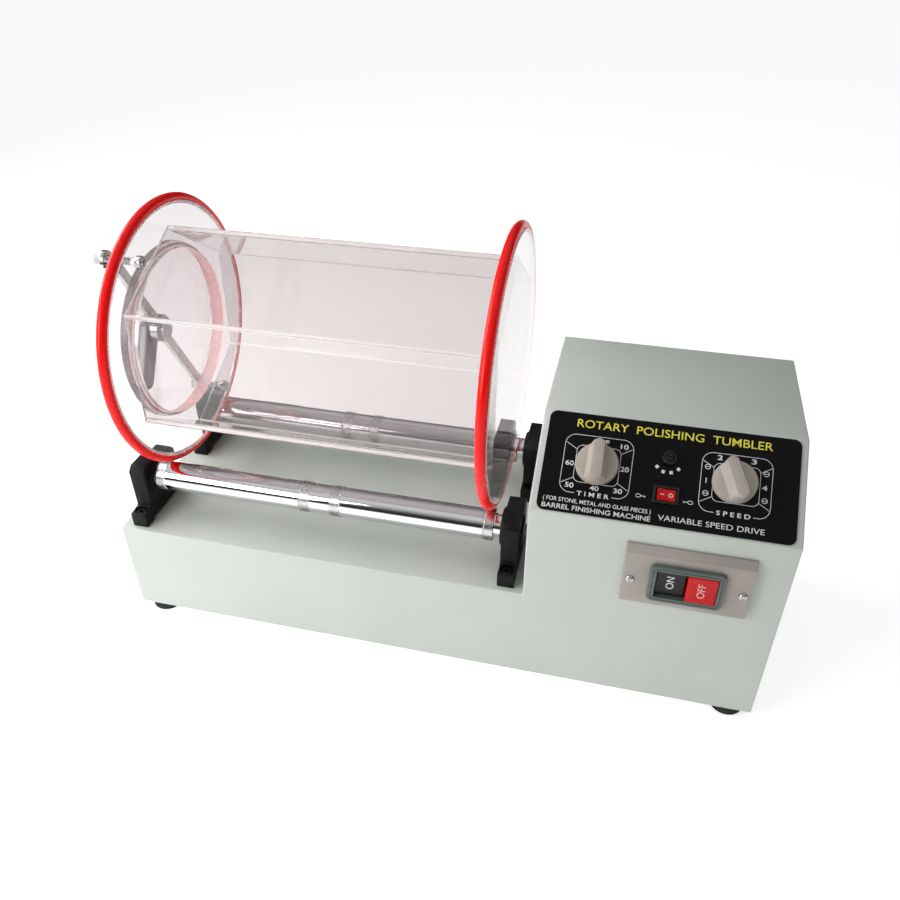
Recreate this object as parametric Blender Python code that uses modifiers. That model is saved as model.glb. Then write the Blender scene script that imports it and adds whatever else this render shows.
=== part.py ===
"""Rotary rock tumbler: a clear six-sided barrel on two chrome rollers, driven from a sheet-metal cabinet.

Metres, +Z up, +X along the rollers towards the control head, -Y is the front.
The origin is on the floor, under the middle of the cabinet.
"""
import math

import bmesh
import bpy
from mathutils import Vector

# ---- driving dimensions ----
GAP = 0.0003                      # kept between solids that touch

CABINET_LENGTH = 0.600
CABINET_DEPTH = 0.205
DECK_HEIGHT = 0.0974              # low part, above the cabinet's lower edge
HEAD_START = 0.390                # from the left wall to the head's left wall
HEAD_HEIGHT = 0.2455
SLOPE_START_HEIGHT = 0.1942       # where the sloped control face begins
SLOPE_RUN = 0.072                 # how far back the slope reaches
SHEET = 0.0015
FOOT_HEIGHT = 0.010
FOOT_RADIUS = 0.015
FOOT_INSET_X = 0.020
FOOT_INSET_Y = 0.0155
FOOT_NECK = 0.0125                # radius above the cabinet's lower edge, clear of the walls

LEFT = -CABINET_LENGTH / 2
FRONT = -CABINET_DEPTH / 2
BACK = CABINET_DEPTH / 2
BASE = FOOT_HEIGHT                # height of the cabinet's lower edge
DECK = BASE + DECK_HEIGHT

ROLLER_SPREAD = 0.061             # each roller's axis from the middle plane
ROLLER_HEIGHT = 0.0391            # roller axis above the deck
ROLLER_RADIUS = 0.0140
BAND_RADIUS = 0.0145              # knurled bands stand a little proud
SHAFT_RADIUS = 0.006
NECK_RADIUS = 0.0105
ROLLER_Z = DECK + ROLLER_HEIGHT

RING_TUBE = 0.0045                # half the thickness of a rubber ring
RING_CENTRE = 0.1199              # ring's centre circle
BARREL_OUTER = RING_CENTRE + RING_TUBE
CONTACT = BARREL_OUTER + BAND_RADIUS + GAP
BARREL_Z = ROLLER_Z + math.sqrt(CONTACT ** 2 - ROLLER_SPREAD ** 2)
LEFT_DISC_X = LEFT + 0.042        # middle of the left disc's thickness
RIGHT_DISC_X = LEFT + 0.353
DISC_THICKNESS = 0.010
DISC_RADIUS = 0.1175
MOUTH_RADIUS = 0.075
HEX_RADIUS = 0.100                # corner of the tube from the axis
HEX_WALL = 0.005
HEX_TURN = math.radians(26.6)     # from a tube with two corners level; one corner is near the top
BARREL_STEPS = 40

BOLT_CIRCLE = 0.100               # clamp bolts from the barrel's axis
CLAMP_ANGLE = math.radians(119)   # upper bolt, from +Y towards +Z
LID_RADIUS = 0.080
LID_THICKNESS = 0.007
GASKET_THICKNESS = 0.003
BAR_THICKNESS = 0.005
BAR_END_RADIUS = 0.0075
BAR_HALF_WIDTH = 0.0045           # between its rounded ends
BAR_NECK = 0.014                  # from a bolt's middle to where the bar is narrow
CLAMP_SHANK = 0.0030              # radius of the clamp bolts
SCREW_RADIUS = 0.0042             # centre screw
DISC_FACE = LEFT_DISC_X - DISC_THICKNESS / 2
GASKET_FACE = DISC_FACE - GAP - GASKET_THICKNESS
LID_FACE = GASKET_FACE - GAP - LID_THICKNESS
BAR_X = LID_FACE - 0.0060 - BAR_THICKNESS / 2
UPPER_BOLT = Vector((0, BOLT_CIRCLE * math.cos(CLAMP_ANGLE), BOLT_CIRCLE * math.sin(CLAMP_ANGLE)))
LEVER_LENGTH = 0.050
LEVER_THICKNESS = 0.0110
LEVER_X = LEFT + 0.0068
LEVER_HUB, LEVER_TIP = 0.0100, 0.0085
LEVER_ANGLE = math.radians(-120)  # from +Y towards +Z

BLOCK_THICKNESS = 0.0152
BLOCK_LEFT_X = LEFT + 0.0109      # outer face of a left block
BLOCK_RIGHT_X = LEFT + 0.3660     # inner face of a right block
BLOCK_HEIGHT = 0.0593
BLOCK_HALF_HEAD = 0.0231
BLOCK_CHAMFER = 0.0050
BLOCK_HALF_FOOT = 0.0362
BLOCK_FOOT_HEIGHT = 0.0144
BLOCK_WAIST_HEIGHT = 0.0180
BLOCK_ARCH_HALF = 0.022
BLOCK_ARCH_HEIGHT = 0.0025
BOSS_RADIUS = 0.0175
BOSS_LENGTH = 0.0035
BEARING_RADIUS = 0.0130
BEARING_WIDTH = 0.010
BOLT_OFFSET = 0.0298              # foot bolt from the block's middle

MOTOR_RADIUS = 0.042
MOTOR_LENGTH = 0.115
MOTOR_Y = FRONT + 0.060
MOTOR_Z = BASE + 0.056
PULLEY_X = LEFT + 0.404           # plane that the belt runs in
PULLEY_WIDTH = 0.010
BELT_RADIUS = 0.0025
ROLLER_PULLEY_BELT = 0.0300       # belt's centre line on the large pulley
MOTOR_PULLEY_BELT = 0.0100

LABEL_WIDTH = 0.1985
LABEL_HEIGHT = 0.0860
LABEL_THICKNESS = 0.0008
LABEL_X = 0.4950                  # middle of the label, from the left wall
LABEL_UP = 0.0442                 # middle of the label, up the slope
KNOB_RADIUS = 0.0170
KNOB_SKIRT = 0.006
KNOB_GRIP = 0.018
GRIP_TAPER = 0.48                 # the grip's width at its top against its root
TIMER_X, TIMER_UP = 0.4390, 0.0440
SPEED_X, SPEED_UP = 0.5458, 0.0445
ROCKER_X, ROCKER_UP = 0.4950, 0.0265
FUSE_X, FUSE_UP = 0.4950, 0.0575
SPEED_REST = math.radians(22)     # the speed knob stands at step 2
ROCKER_REST = math.radians(7)

PLATE_X = 0.5212                  # middle of the switch plate, from the left wall
PLATE_UP = 0.1450                 # middle of the switch plate, above the lower edge
PLATE_WIDTH = 0.1005
PLATE_HEIGHT = 0.0628
PLATE_DEPTH = 0.007
SCREW_SPREAD = 0.0442             # plate screws from the plate's middle
SCREW_DROP = 0.002                # and below it
BEZEL_COLLAR = 0.0038
WELL_WIDTH = 0.0485
WELL_HEIGHT = 0.0280
BUTTON_TRAVEL = 0.0045

GLAND_SPOT = (LEFT + 0.560, BACK, BASE + 0.040)
VENT_COUNT = 6
VENT_PITCH = 0.011

COLORS = {
    "cabinet_paint": ((0.62, 0.68, 0.62), 0.45, 0.0),
    "black_paint": ((0.02, 0.02, 0.022), 0.45, 0.0),
    "chrome": ((0.80, 0.80, 0.82), 0.12, 1.0),
    "steel": ((0.55, 0.55, 0.56), 0.35, 1.0),
    "clear_acrylic": ((0.93, 0.88, 0.89), 0.08, 0.0),
    "red_rubber": ((0.80, 0.03, 0.02), 0.30, 0.0),
    "black_rubber": ((0.03, 0.03, 0.03), 0.80, 0.0),
    "seal_rubber": ((0.62, 0.50, 0.50), 0.60, 0.0),
    "label_black": ((0.012, 0.012, 0.014), 0.35, 0.0),
    "knob_plastic": ((0.62, 0.60, 0.56), 0.45, 0.0),
    "plate_plastic": ((0.55, 0.51, 0.48), 0.45, 0.0),
    "grey_green_plastic": ((0.16, 0.20, 0.18), 0.50, 0.0),
    "black_plastic": ((0.02, 0.02, 0.02), 0.40, 0.0),
    "red_plastic": ((0.75, 0.03, 0.03), 0.35, 0.0),
    "motor_paint": ((0.10, 0.12, 0.14), 0.50, 0.0),
    "aluminium": ((0.75, 0.75, 0.76), 0.35, 1.0),
}


# ---- scene helpers ----
def clear_scene():
    for old in list(bpy.data.objects):
        bpy.data.objects.remove(old, do_unlink=True)


def new_collection(name):
    made = bpy.data.collections.new(name)
    bpy.context.scene.collection.children.link(made)
    return made


clear_scene()
PARTS = new_collection("rock_tumbler")
CUTTERS = new_collection("cutters")


def material(slot):
    found = bpy.data.materials.get(slot)
    if found:
        return found
    color, roughness, metallic = COLORS[slot]
    made = bpy.data.materials.new(slot)
    made.use_nodes = True
    shader = made.node_tree.nodes["Principled BSDF"]
    shader.inputs["Base Color"].default_value = (*color, 1.0)
    shader.inputs["Roughness"].default_value = roughness
    shader.inputs["Metallic"].default_value = metallic
    return made


def frame(name, location, rotation=(0, 0, 0), parent=None):
    """An empty that carries a group of parts, on their axis."""
    made = bpy.data.objects.new(name, None)
    made.location = location
    made.rotation_euler = rotation
    made.parent = parent
    PARTS.objects.link(made)
    return made


def add_object(name, mesh, slot, parent=None, location=(0, 0, 0), rotation=(0, 0, 0)):
    """A part when it has a material slot, or a cutter when slot is None."""
    made = bpy.data.objects.new(name, mesh)
    made.parent = parent
    made.location = location
    made.rotation_euler = rotation
    if slot:
        mesh.materials.append(material(slot))
        PARTS.objects.link(made)
    else:
        CUTTERS.objects.link(made)
        made.hide_render = True
        made.display_type = "WIRE"
    return made


def box(name, size, slot=None, bevel=0.0, segments=2, **place):
    work = bmesh.new()
    bmesh.ops.create_cube(work, size=1.0)
    bmesh.ops.scale(work, vec=Vector(size), verts=work.verts)
    mesh = bpy.data.meshes.new(name)
    work.to_mesh(mesh)
    work.free()
    made = add_object(name, mesh, slot, **place)
    if bevel:
        edge = made.modifiers.new("rounded_edges", "BEVEL")
        edge.width = bevel
        edge.segments = segments
    return made


def cylinder(name, radius, length, slot=None, sides=20, **place):
    work = bmesh.new()
    bmesh.ops.create_cone(work, cap_ends=True, segments=sides, radius1=radius, radius2=radius, depth=length)
    mesh = bpy.data.meshes.new(name)
    work.to_mesh(mesh)
    work.free()
    return add_object(name, mesh, slot, **place)


def turned(name, profile, slot, ring=False, steps=20, **place):
    """Turns (radius, height) points, listed from the top down the outer side, about local Z."""
    mesh = bpy.data.meshes.new(name)
    points = [(radius, 0.0, height) for radius, height in profile]
    edges = [(i, i + 1) for i in range(len(points) - 1)]
    if ring:
        edges.append((len(points) - 1, 0))
    mesh.from_pydata(points, edges, [])
    made = add_object(name, mesh, slot, **place)
    screw = made.modifiers.new("turn", "SCREW")
    screw.axis = "Z"
    screw.angle = math.tau
    screw.steps = steps
    screw.render_steps = steps
    screw.use_merge_vertices = True
    screw.merge_threshold = 0.0001
    screw.use_smooth_shade = True
    return made


def mesh_from_curve(name, curve, slot, **place):
    """Makes a curve a closed mesh, so that it can be cut and can cut."""
    holder = bpy.data.objects.new(name + "_curve", curve)
    CUTTERS.objects.link(holder)
    seen = holder.evaluated_get(bpy.context.evaluated_depsgraph_get())
    mesh = bpy.data.meshes.new_from_object(seen)
    mesh.name = name
    work = bmesh.new()
    work.from_mesh(mesh)
    bmesh.ops.remove_doubles(work, verts=work.verts, dist=0.00001)
    work.to_mesh(mesh)
    work.free()
    mesh.materials.clear()
    bpy.data.objects.remove(holder, do_unlink=True)
    return add_object(name, mesh, slot, **place)


def plate(name, outline, thickness, slot=None, **place):
    """A flat outline in local XY, as thick as given along local Z and centred on it."""
    curve = bpy.data.curves.new(name + "_outline", "CURVE")
    curve.dimensions = "2D"
    curve.fill_mode = "BOTH"
    curve.extrude = thickness / 2
    line = curve.splines.new("POLY")
    line.points.add(len(outline) - 1)
    for point, (x, y) in zip(line.points, outline):
        point.co = (x, y, 0.0, 1.0)
    line.use_cyclic_u = True
    return mesh_from_curve(name, curve, slot, **place)


def rounded_rectangle(width, height, radius, steps=3):
    corners = [(1, 1, 0), (-1, 1, 90), (-1, -1, 180), (1, -1, 270)]
    points = []
    for sx, sy, start in corners:
        for step in range(steps + 1):
            angle = math.radians(start + 90 * step / steps)
            x = sx * (width / 2 - radius) + radius * math.cos(angle)
            y = sy * (height / 2 - radius) + radius * math.sin(angle)
            points.append((x, y))
    return points


def boolean(target, other, operation):
    change = target.modifiers.new(other.name, "BOOLEAN")
    change.operation = operation
    change.solver = "EXACT"
    change.object = other


def cut(target, *others):
    for other in others:
        boolean(target, other, "DIFFERENCE")
    return target


def fuse(target, *others):
    for other in others:
        boolean(target, other, "UNION")
    return target


ALONG_X = (0, math.pi / 2, 0)     # turns local Z to world +X
FACING_FRONT = (math.pi / 2, 0, 0)  # turns local Z to world -Y and local Y to world +Z
FACING_BACK = (-math.pi / 2, 0, 0)

SLOPE_ANGLE = math.atan2(HEAD_HEIGHT - SLOPE_START_HEIGHT, SLOPE_RUN)
slope = frame("slope_frame", (LEFT, FRONT, BASE + SLOPE_START_HEIGHT), (SLOPE_ANGLE, 0, 0))
front = frame("front_frame", (LEFT, FRONT, BASE), FACING_FRONT)
barrel = frame("barrel_axis", (0, 0, BARREL_Z))


# ---- cabinet ----
def cabinet_shell():
    """Folded sheet: a low deck and a tall head with a sloped face, without a bottom."""
    work = bmesh.new()
    bmesh.ops.create_cube(work, size=1.0)
    bmesh.ops.scale(work, vec=(CABINET_LENGTH, CABINET_DEPTH, DECK_HEIGHT), verts=work.verts)
    bmesh.ops.translate(work, vec=(0, 0, BASE + DECK_HEIGHT / 2), verts=work.verts)
    everything = work.verts[:] + work.edges[:] + work.faces[:]
    head_wall = Vector((LEFT + HEAD_START, 0, 0))
    bmesh.ops.bisect_plane(work, geom=everything, plane_co=head_wall, plane_no=(1, 0, 0))
    for height, setback in ((SLOPE_START_HEIGHT, 0.0), (HEAD_HEIGHT, SLOPE_RUN)):
        top = max((f for f in work.faces if f.calc_center_median().x > head_wall.x),
                  key=lambda f: f.calc_center_median().z)
        raised = bmesh.ops.extrude_face_region(work, geom=[top])
        bmesh.ops.delete(work, geom=[top], context="FACES")
        for vert in (v for v in raised["geom"] if isinstance(v, bmesh.types.BMVert)):
            vert.co.z = BASE + height
            if vert.co.y < 0:
                vert.co.y += setback
    bottom = [f for f in work.faces if f.calc_center_median().z < BASE + GAP]
    bmesh.ops.delete(work, geom=bottom, context="FACES")
    bmesh.ops.recalc_face_normals(work, faces=work.faces)
    mesh = bpy.data.meshes.new("cabinet_shell")
    work.to_mesh(mesh)
    work.free()
    shell = add_object("cabinet_shell", mesh, "cabinet_paint")
    wall = shell.modifiers.new("sheet", "SOLIDIFY")
    wall.thickness = SHEET
    wall.offset = -1.0
    wall.use_even_offset = True
    return shell


def cut_cabinet(shell):
    """Holes for the roller shaft, the panel parts, the switch, the bolts, the gland and the vents."""
    deep = 8 * SHEET
    shaft = cylinder("shaft_hole", SHAFT_RADIUS + 0.002, deep, rotation=ALONG_X,
                     location=(LEFT + HEAD_START, ROLLER_SPREAD, ROLLER_Z))
    cut(shell, shaft)
    for label, x, up, radius in (("timer", TIMER_X, TIMER_UP, 0.005), ("speed", SPEED_X, SPEED_UP, 0.005),
                                 ("fuse", FUSE_X, FUSE_UP, 0.0050)):
        cut(shell, cylinder(label + "_hole", radius, deep, parent=slope, location=(x, up, 0)))
    cut(shell, box("rocker_hole", (0.0178, 0.0126, deep), parent=slope, location=(ROCKER_X, ROCKER_UP, 0)))
    opening = (WELL_WIDTH + 0.0055, WELL_HEIGHT + 0.0055, deep)
    cut(shell, box("switch_hole", opening, parent=front, location=(PLATE_X, PLATE_UP, 0)))
    for side, y in (("front", -ROLLER_SPREAD), ("rear", ROLLER_SPREAD)):
        for end, x in (("left", BLOCK_LEFT_X), ("right", BLOCK_RIGHT_X)):
            for sign in (-1, 1):
                spot = (x + BLOCK_THICKNESS / 2, y + sign * BOLT_OFFSET, DECK)
                cut(shell, cylinder(f"deck_hole_{side}_{end}_{sign}", 0.0034, deep, sides=12, location=spot))
    cut(shell, cylinder("gland_hole", 0.0072, deep, rotation=FACING_BACK, location=GLAND_SPOT))
    for row in range(VENT_COUNT):
        spot = (LEFT + 0.530, BACK, BASE + 0.150 + row * VENT_PITCH)
        cut(shell, box(f"vent_{row}", (0.070, deep, 0.0035), location=spot))


def bottom_plate():
    inner = (CABINET_LENGTH - 2 * SHEET - 2 * GAP, CABINET_DEPTH - 2 * SHEET - 2 * GAP, SHEET)
    made = box("bottom_plate", inner, "cabinet_paint", location=(0, 0, BASE + 0.0035))
    for sx in (-1, 1):
        for sy in (-1, 1):
            spot = (sx * (CABINET_LENGTH / 2 - FOOT_INSET_X), sy * (CABINET_DEPTH / 2 - FOOT_INSET_Y), BASE)
            cut(made, cylinder(f"foot_hole_{sx}_{sy}", 0.0050, 0.020, sides=16, location=spot))
    return made


def feet():
    """Turned rubber feet, each with a stem that goes up through the bottom plate."""
    seat = BASE + 0.0035 - SHEET / 2 - GAP
    shoulder = BASE - 0.0004
    profile = [(0, seat + 0.006), (0.0040, seat + 0.006), (0.0040, seat), (FOOT_NECK, seat),
               (FOOT_NECK, shoulder), (FOOT_RADIUS, shoulder), (FOOT_RADIUS, 0.0010),
               (FOOT_RADIUS - 0.0010, 0.0), (0, 0.0)]
    for side, sy in (("front", -1), ("rear", 1)):
        for end, sx in (("left", -1), ("right", 1)):
            spot = (sx * (CABINET_LENGTH / 2 - FOOT_INSET_X), sy * (CABINET_DEPTH / 2 - FOOT_INSET_Y), 0)
            turned(f"foot_{side}_{end}", profile, "black_rubber", steps=18, location=spot)


# ---- bearing blocks and rollers ----
def block_outline():
    half, foot = BLOCK_HALF_HEAD, BLOCK_HALF_FOOT
    right = [(BLOCK_ARCH_HALF, BLOCK_ARCH_HEIGHT), (BLOCK_ARCH_HALF, 0), (foot, 0), (foot, BLOCK_FOOT_HEIGHT),
             (half, BLOCK_WAIST_HEIGHT), (half, BLOCK_HEIGHT - BLOCK_CHAMFER),
             (half - BLOCK_CHAMFER, BLOCK_HEIGHT)]
    left = [(-y, z) for y, z in reversed(right)]
    return right + left


def bearing_blocks():
    """Four black blocks with their bearings and foot bolts. Local X of a plate runs along world Y."""
    upright = (math.pi / 2, 0, math.pi / 2)
    for side, y in (("front", -ROLLER_SPREAD), ("rear", ROLLER_SPREAD)):
        for end, x, inward in (("left", BLOCK_LEFT_X, 1), ("right", BLOCK_RIGHT_X, -1)):
            middle = x + BLOCK_THICKNESS / 2
            tag = f"{side}_{end}"
            made = plate("bearing_block_" + tag, block_outline(), BLOCK_THICKNESS, "black_paint",
                         location=(middle, y, DECK + GAP), rotation=upright)
            boss_x = middle + inward * (BLOCK_THICKNESS / 2 + BOSS_LENGTH / 2 - 0.001)
            fuse(made, cylinder("boss_" + tag, BOSS_RADIUS, BOSS_LENGTH + 0.002, rotation=ALONG_X,
                                location=(boss_x, y, ROLLER_Z)))
            cut(made, cylinder("bore_" + tag, BEARING_RADIUS + GAP, 0.060, rotation=ALONG_X,
                               location=(middle, y, ROLLER_Z)))
            for sign in (-1, 1):
                spot = Vector((middle, y + sign * BOLT_OFFSET, DECK))
                cut(made, cylinder(f"bolt_way_{tag}_{sign}", 0.0034, 0.060, sides=12, location=spot))
                sunk = spot + Vector((0, 0, 0.0095 + 0.010))
                cut(made, cylinder(f"counterbore_{tag}_{sign}", 0.0056, 0.020, sides=14, location=sunk))
                foot_bolt(f"block_bolt_{tag}_{'inner' if sign * y < 0 else 'outer'}", spot)
            bearing(tag, middle, y)


def foot_bolt(name, spot):
    """A cap screw: a round head in the counterbore and a shank through the deck."""
    head_bottom = 0.0095 + GAP
    profile = [(0, head_bottom + 0.0045), (0.0044, head_bottom + 0.0045), (0.0050, head_bottom + 0.0039),
               (0.0050, head_bottom), (0.0030, head_bottom), (0.0030, -0.008), (0, -0.008)]
    turned(name, profile, "steel", steps=12, location=spot)


def bearing(tag, x, y):
    half = BEARING_WIDTH / 2
    bore = SHAFT_RADIUS + GAP
    profile = [(bore, half), (BEARING_RADIUS, half), (BEARING_RADIUS, -half), (bore, -half)]
    turned("bearing_" + tag, profile, "steel", ring=True, rotation=ALONG_X, location=(x, y, ROLLER_Z))


def roller_profile(shaft_end):
    """From the right-hand end (top of the turned shape) to the left, measured from the left wall."""
    stations = [(SHAFT_RADIUS, shaft_end), (SHAFT_RADIUS, 0.3632), (NECK_RADIUS, 0.3632),
                (NECK_RADIUS, 0.3570), (BAND_RADIUS, 0.3570), (BAND_RADIUS, 0.3471),
                (ROLLER_RADIUS, 0.3471), (ROLLER_RADIUS, 0.2152), (BAND_RADIUS, 0.2152),
                (BAND_RADIUS, 0.2046), (ROLLER_RADIUS, 0.2046), (ROLLER_RADIUS, 0.1851),
                (BAND_RADIUS, 0.1851), (BAND_RADIUS, 0.1744), (ROLLER_RADIUS, 0.1744),
                (ROLLER_RADIUS, 0.0400), (BAND_RADIUS, 0.0400), (BAND_RADIUS, 0.0307),
                (NECK_RADIUS, 0.0307), (NECK_RADIUS, 0.0290), (SHAFT_RADIUS, 0.0290),
                (SHAFT_RADIUS, 0.0125)]
    return [(0, stations[0][1])] + stations + [(0, stations[-1][1])]


def rollers():
    """The rear roller's shaft reaches into the head and carries the large pulley."""
    turned("front_roller", roller_profile(0.3795), "chrome", rotation=ALONG_X,
           location=(LEFT, -ROLLER_SPREAD, ROLLER_Z))
    turned("rear_roller", roller_profile(0.4160), "chrome", rotation=ALONG_X,
           location=(LEFT, ROLLER_SPREAD, ROLLER_Z))


# ---- drive ----
def pulley_profile(belt_line, bore):
    """A grooved wheel with a bore. The groove's bottom clears the belt."""
    half = PULLEY_WIDTH / 2
    rim = belt_line + 0.0022
    groove = BELT_RADIUS + GAP
    arc = [(belt_line - groove * math.sin(a), groove * math.cos(a))
           for a in [math.pi * i / 4 for i in range(5)]]
    return [(bore, half), (rim, half), (rim, groove)] + arc + [(rim, -groove), (rim, -half), (bore, -half)]


def pulleys():
    turned("roller_pulley", pulley_profile(ROLLER_PULLEY_BELT, SHAFT_RADIUS + GAP), "aluminium", ring=True,
           rotation=ALONG_X, location=(PULLEY_X, ROLLER_SPREAD, ROLLER_Z))
    solid = pulley_profile(MOTOR_PULLEY_BELT, 0)
    half = PULLEY_WIDTH / 2
    shaft = 0.004
    motor_face = LEFT + 0.420 - PULLEY_X
    profile = [(0, motor_face + 0.012), (shaft, motor_face + 0.012), (shaft, half)] + solid[1:]
    turned("motor_pulley", profile, "aluminium", rotation=ALONG_X, location=(PULLEY_X, MOTOR_Y, MOTOR_Z))


def belt_line(step=0.016):
    """The belt's closed centre line round both pulleys, as (y, z) points."""
    big = Vector((ROLLER_SPREAD, ROLLER_Z))
    small = Vector((MOTOR_Y, MOTOR_Z))
    across = big - small
    lean = math.acos((ROLLER_PULLEY_BELT - MOTOR_PULLEY_BELT) / across.length)
    heading = math.atan2(across.y, across.x)
    points = []
    arcs = ((big, ROLLER_PULLEY_BELT, heading - math.pi + lean, heading + math.pi - lean, 16),
            (small, MOTOR_PULLEY_BELT, heading + math.pi - lean, heading + math.pi + lean, 8))
    for centre, radius, start, stop, count in arcs:
        for i in range(count + 1):
            angle = start + (stop - start) * i / count
            points.append(centre + radius * Vector((math.cos(angle), math.sin(angle))))
    smooth_run = []
    for here, there in zip(points, points[1:] + points[:1]):
        parts = max(1, round((there - here).length / (2 * step)))
        smooth_run += [here.lerp(there, i / parts) for i in range(parts)]
    return smooth_run


def drive_belt():
    curve = bpy.data.curves.new("drive_belt_line", "CURVE")
    curve.dimensions = "3D"
    curve.bevel_depth = BELT_RADIUS
    curve.bevel_resolution = 2
    line = curve.splines.new("POLY")
    points = belt_line()
    line.points.add(len(points) - 1)
    for point, (y, z) in zip(line.points, points):
        point.co = (PULLEY_X, y, z, 1.0)
    line.use_cyclic_u = True
    mesh_from_curve("drive_belt", curve, "black_rubber")


def drive_motor():
    """An induction motor on its own foot, standing on the bottom plate."""
    start = LEFT + 0.420
    middle = start + MOTOR_LENGTH / 2
    made = cylinder("drive_motor", MOTOR_RADIUS, MOTOR_LENGTH, "motor_paint", sides=36, rotation=ALONG_X,
                    location=(middle, MOTOR_Y, MOTOR_Z))
    floor = BASE + 0.0035 + SHEET / 2 + GAP
    top = MOTOR_Z - MOTOR_RADIUS * 0.6
    foot = box("motor_foot", (0.080, 0.074, top - floor), location=(middle, MOTOR_Y, (top + floor) / 2))
    fuse(made, foot)
    cut(made, cylinder("motor_shaft_hole", 0.0045, 0.034, sides=20, rotation=ALONG_X,
                       location=(start, MOTOR_Y, MOTOR_Z)))


def cord_gland():
    """A screwed gland in the rear wall, where the supply cord would go in."""
    bore = 0.0035
    profile = [(bore, 0.014), (0.0055, 0.014), (0.0085, 0.010), (0.0095, 0.0085), (0.0095, GAP),
               (0.0068, GAP), (0.0068, -0.008), (bore, -0.008)]
    turned("cord_gland", profile, "black_plastic", ring=True, steps=24, rotation=FACING_BACK,
           location=GLAND_SPOT)


# ---- control panel on the slope ----
def control_label():
    made = plate("control_label", rounded_rectangle(LABEL_WIDTH, LABEL_HEIGHT, 0.006), LABEL_THICKNESS,
                 "label_black", parent=slope, location=(LABEL_X, LABEL_UP, GAP + LABEL_THICKNESS / 2))
    deep = 0.010
    for label, x, up, radius in (("timer", TIMER_X, TIMER_UP, 0.005), ("speed", SPEED_X, SPEED_UP, 0.005),
                                 ("fuse", FUSE_X, FUSE_UP, 0.0050)):
        cut(made, cylinder(label + "_label_hole", radius, deep, parent=slope, location=(x, up, 0)))
    cut(made, box("rocker_label_hole", (0.0178, 0.0126, deep), parent=slope,
                  location=(ROCKER_X, ROCKER_UP, 0)))


def knob(name, x, up, turn, shaft_name):
    """A round skirt with a raised grip across it, on the shaft of the part behind the panel."""
    lift = GAP + LABEL_THICKNESS + 0.0006
    axis = frame(name + "_axis", (x, up, 0), (0, 0, turn), slope)
    skirt = [(0, lift + KNOB_SKIRT), (KNOB_RADIUS - 0.0008, lift + KNOB_SKIRT),
             (KNOB_RADIUS, lift + KNOB_SKIRT - 0.0008), (KNOB_RADIUS + 0.0003, lift), (0, lift)]
    made = turned(name, skirt, "knob_plastic", steps=30, parent=axis)
    grip = plate(name + "_grip", grip_outline(), KNOB_GRIP - 0.002, parent=axis,
                 location=(0, 0, lift + 0.002 + (KNOB_GRIP - 0.002) / 2))
    for vertex in grip.data.vertices:
        if vertex.co.z > 0:
            vertex.co.x *= GRIP_TAPER
    fuse(made, grip)
    cut(made, cylinder(name + "_socket", 0.0030 + GAP, 0.024, sides=20, parent=axis,
                       location=(0, 0, lift)))
    shaft = [(0, lift + 0.011), (0.0030, lift + 0.011), (0.0030, -0.014), (0, -0.014)]
    turned(shaft_name, shaft, "steel", steps=20, parent=axis)


def grip_outline():
    """The root of the grip in plan: straight sides, both ends rounded with the skirt."""
    reach = KNOB_RADIUS - 0.0003
    ends = []
    for middle, half in ((90, 34), (270, 37)):
        for i in range(7):
            angle = math.radians(middle - half + 2 * half * i / 6)
            ends.append((reach * math.cos(angle), reach * math.sin(angle)))
    return ends


def housing_behind(name, x, up, size):
    """A closed box behind the slope with a blind hole for its shaft."""
    depth = size[2]
    top = -SHEET - GAP
    made = box(name, size, "black_plastic", bevel=0.001, segments=1, parent=slope,
               location=(x, up, top - depth / 2))
    cut(made, cylinder(name + "_way", 0.0036, 0.026, sides=20, parent=slope, location=(x, up, top)))


def rocker_switch():
    """A snap-in housing with a collar on the label, and a red rocker that tilts across it."""
    collar_base = GAP + LABEL_THICKNESS + GAP
    made = box("rocker_housing", (0.0205, 0.0145, 0.0022), "black_plastic", bevel=0.0006, segments=2,
               parent=slope, location=(ROCKER_X, ROCKER_UP, collar_base + 0.0011))
    body = box("rocker_body", (0.0170, 0.0118, 0.0180), parent=slope,
               location=(ROCKER_X, ROCKER_UP, collar_base + 0.0011 - 0.0090))
    fuse(made, body)
    well = box("rocker_well", (0.0158, 0.0106, 0.0240), parent=slope,
               location=(ROCKER_X, ROCKER_UP, -0.0005))
    cut(made, well)
    pivot = frame("rocker_axis", (ROCKER_X, ROCKER_UP, -0.0010), (0, ROCKER_REST, 0), slope)
    half = 0.0070
    outline = [(-half, 0.0050), (-half, -0.0010), (-0.004, -0.0045), (0.004, -0.0045), (half, -0.0010),
               (half, 0.0050), (half * 0.4, 0.0040), (-half * 0.4, 0.0040)]
    plate("rocker", outline, 0.0098, "red_plastic", parent=pivot, rotation=FACING_FRONT)


def fuse_parts():
    """A panel fuse holder and its slotted cap."""
    seat = GAP + LABEL_THICKNESS + GAP
    bore = 0.0034
    profile = [(bore, seat + 0.0040), (0.0052, seat + 0.0040), (0.0058, seat + 0.0034), (0.0058, seat),
               (0.0045, seat), (0.0045, -0.028), (0, -0.028), (0, -0.026), (bore, -0.026)]
    turned("fuse_holder", profile, "black_plastic", ring=True, steps=28, parent=slope,
           location=(FUSE_X, FUSE_UP, 0))
    top = seat + 0.0052
    cap = turned("fuse_cap", [(0, top), (0.0026, top), (bore - GAP, top - 0.0008), (bore - GAP, -0.008),
                              (0, -0.008)], "black_plastic", steps=24, parent=slope,
                 location=(FUSE_X, FUSE_UP, 0))
    cut(cap, box("fuse_slot", (0.0100, 0.0010, 0.0024), parent=slope, location=(FUSE_X, FUSE_UP, top)))


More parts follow.
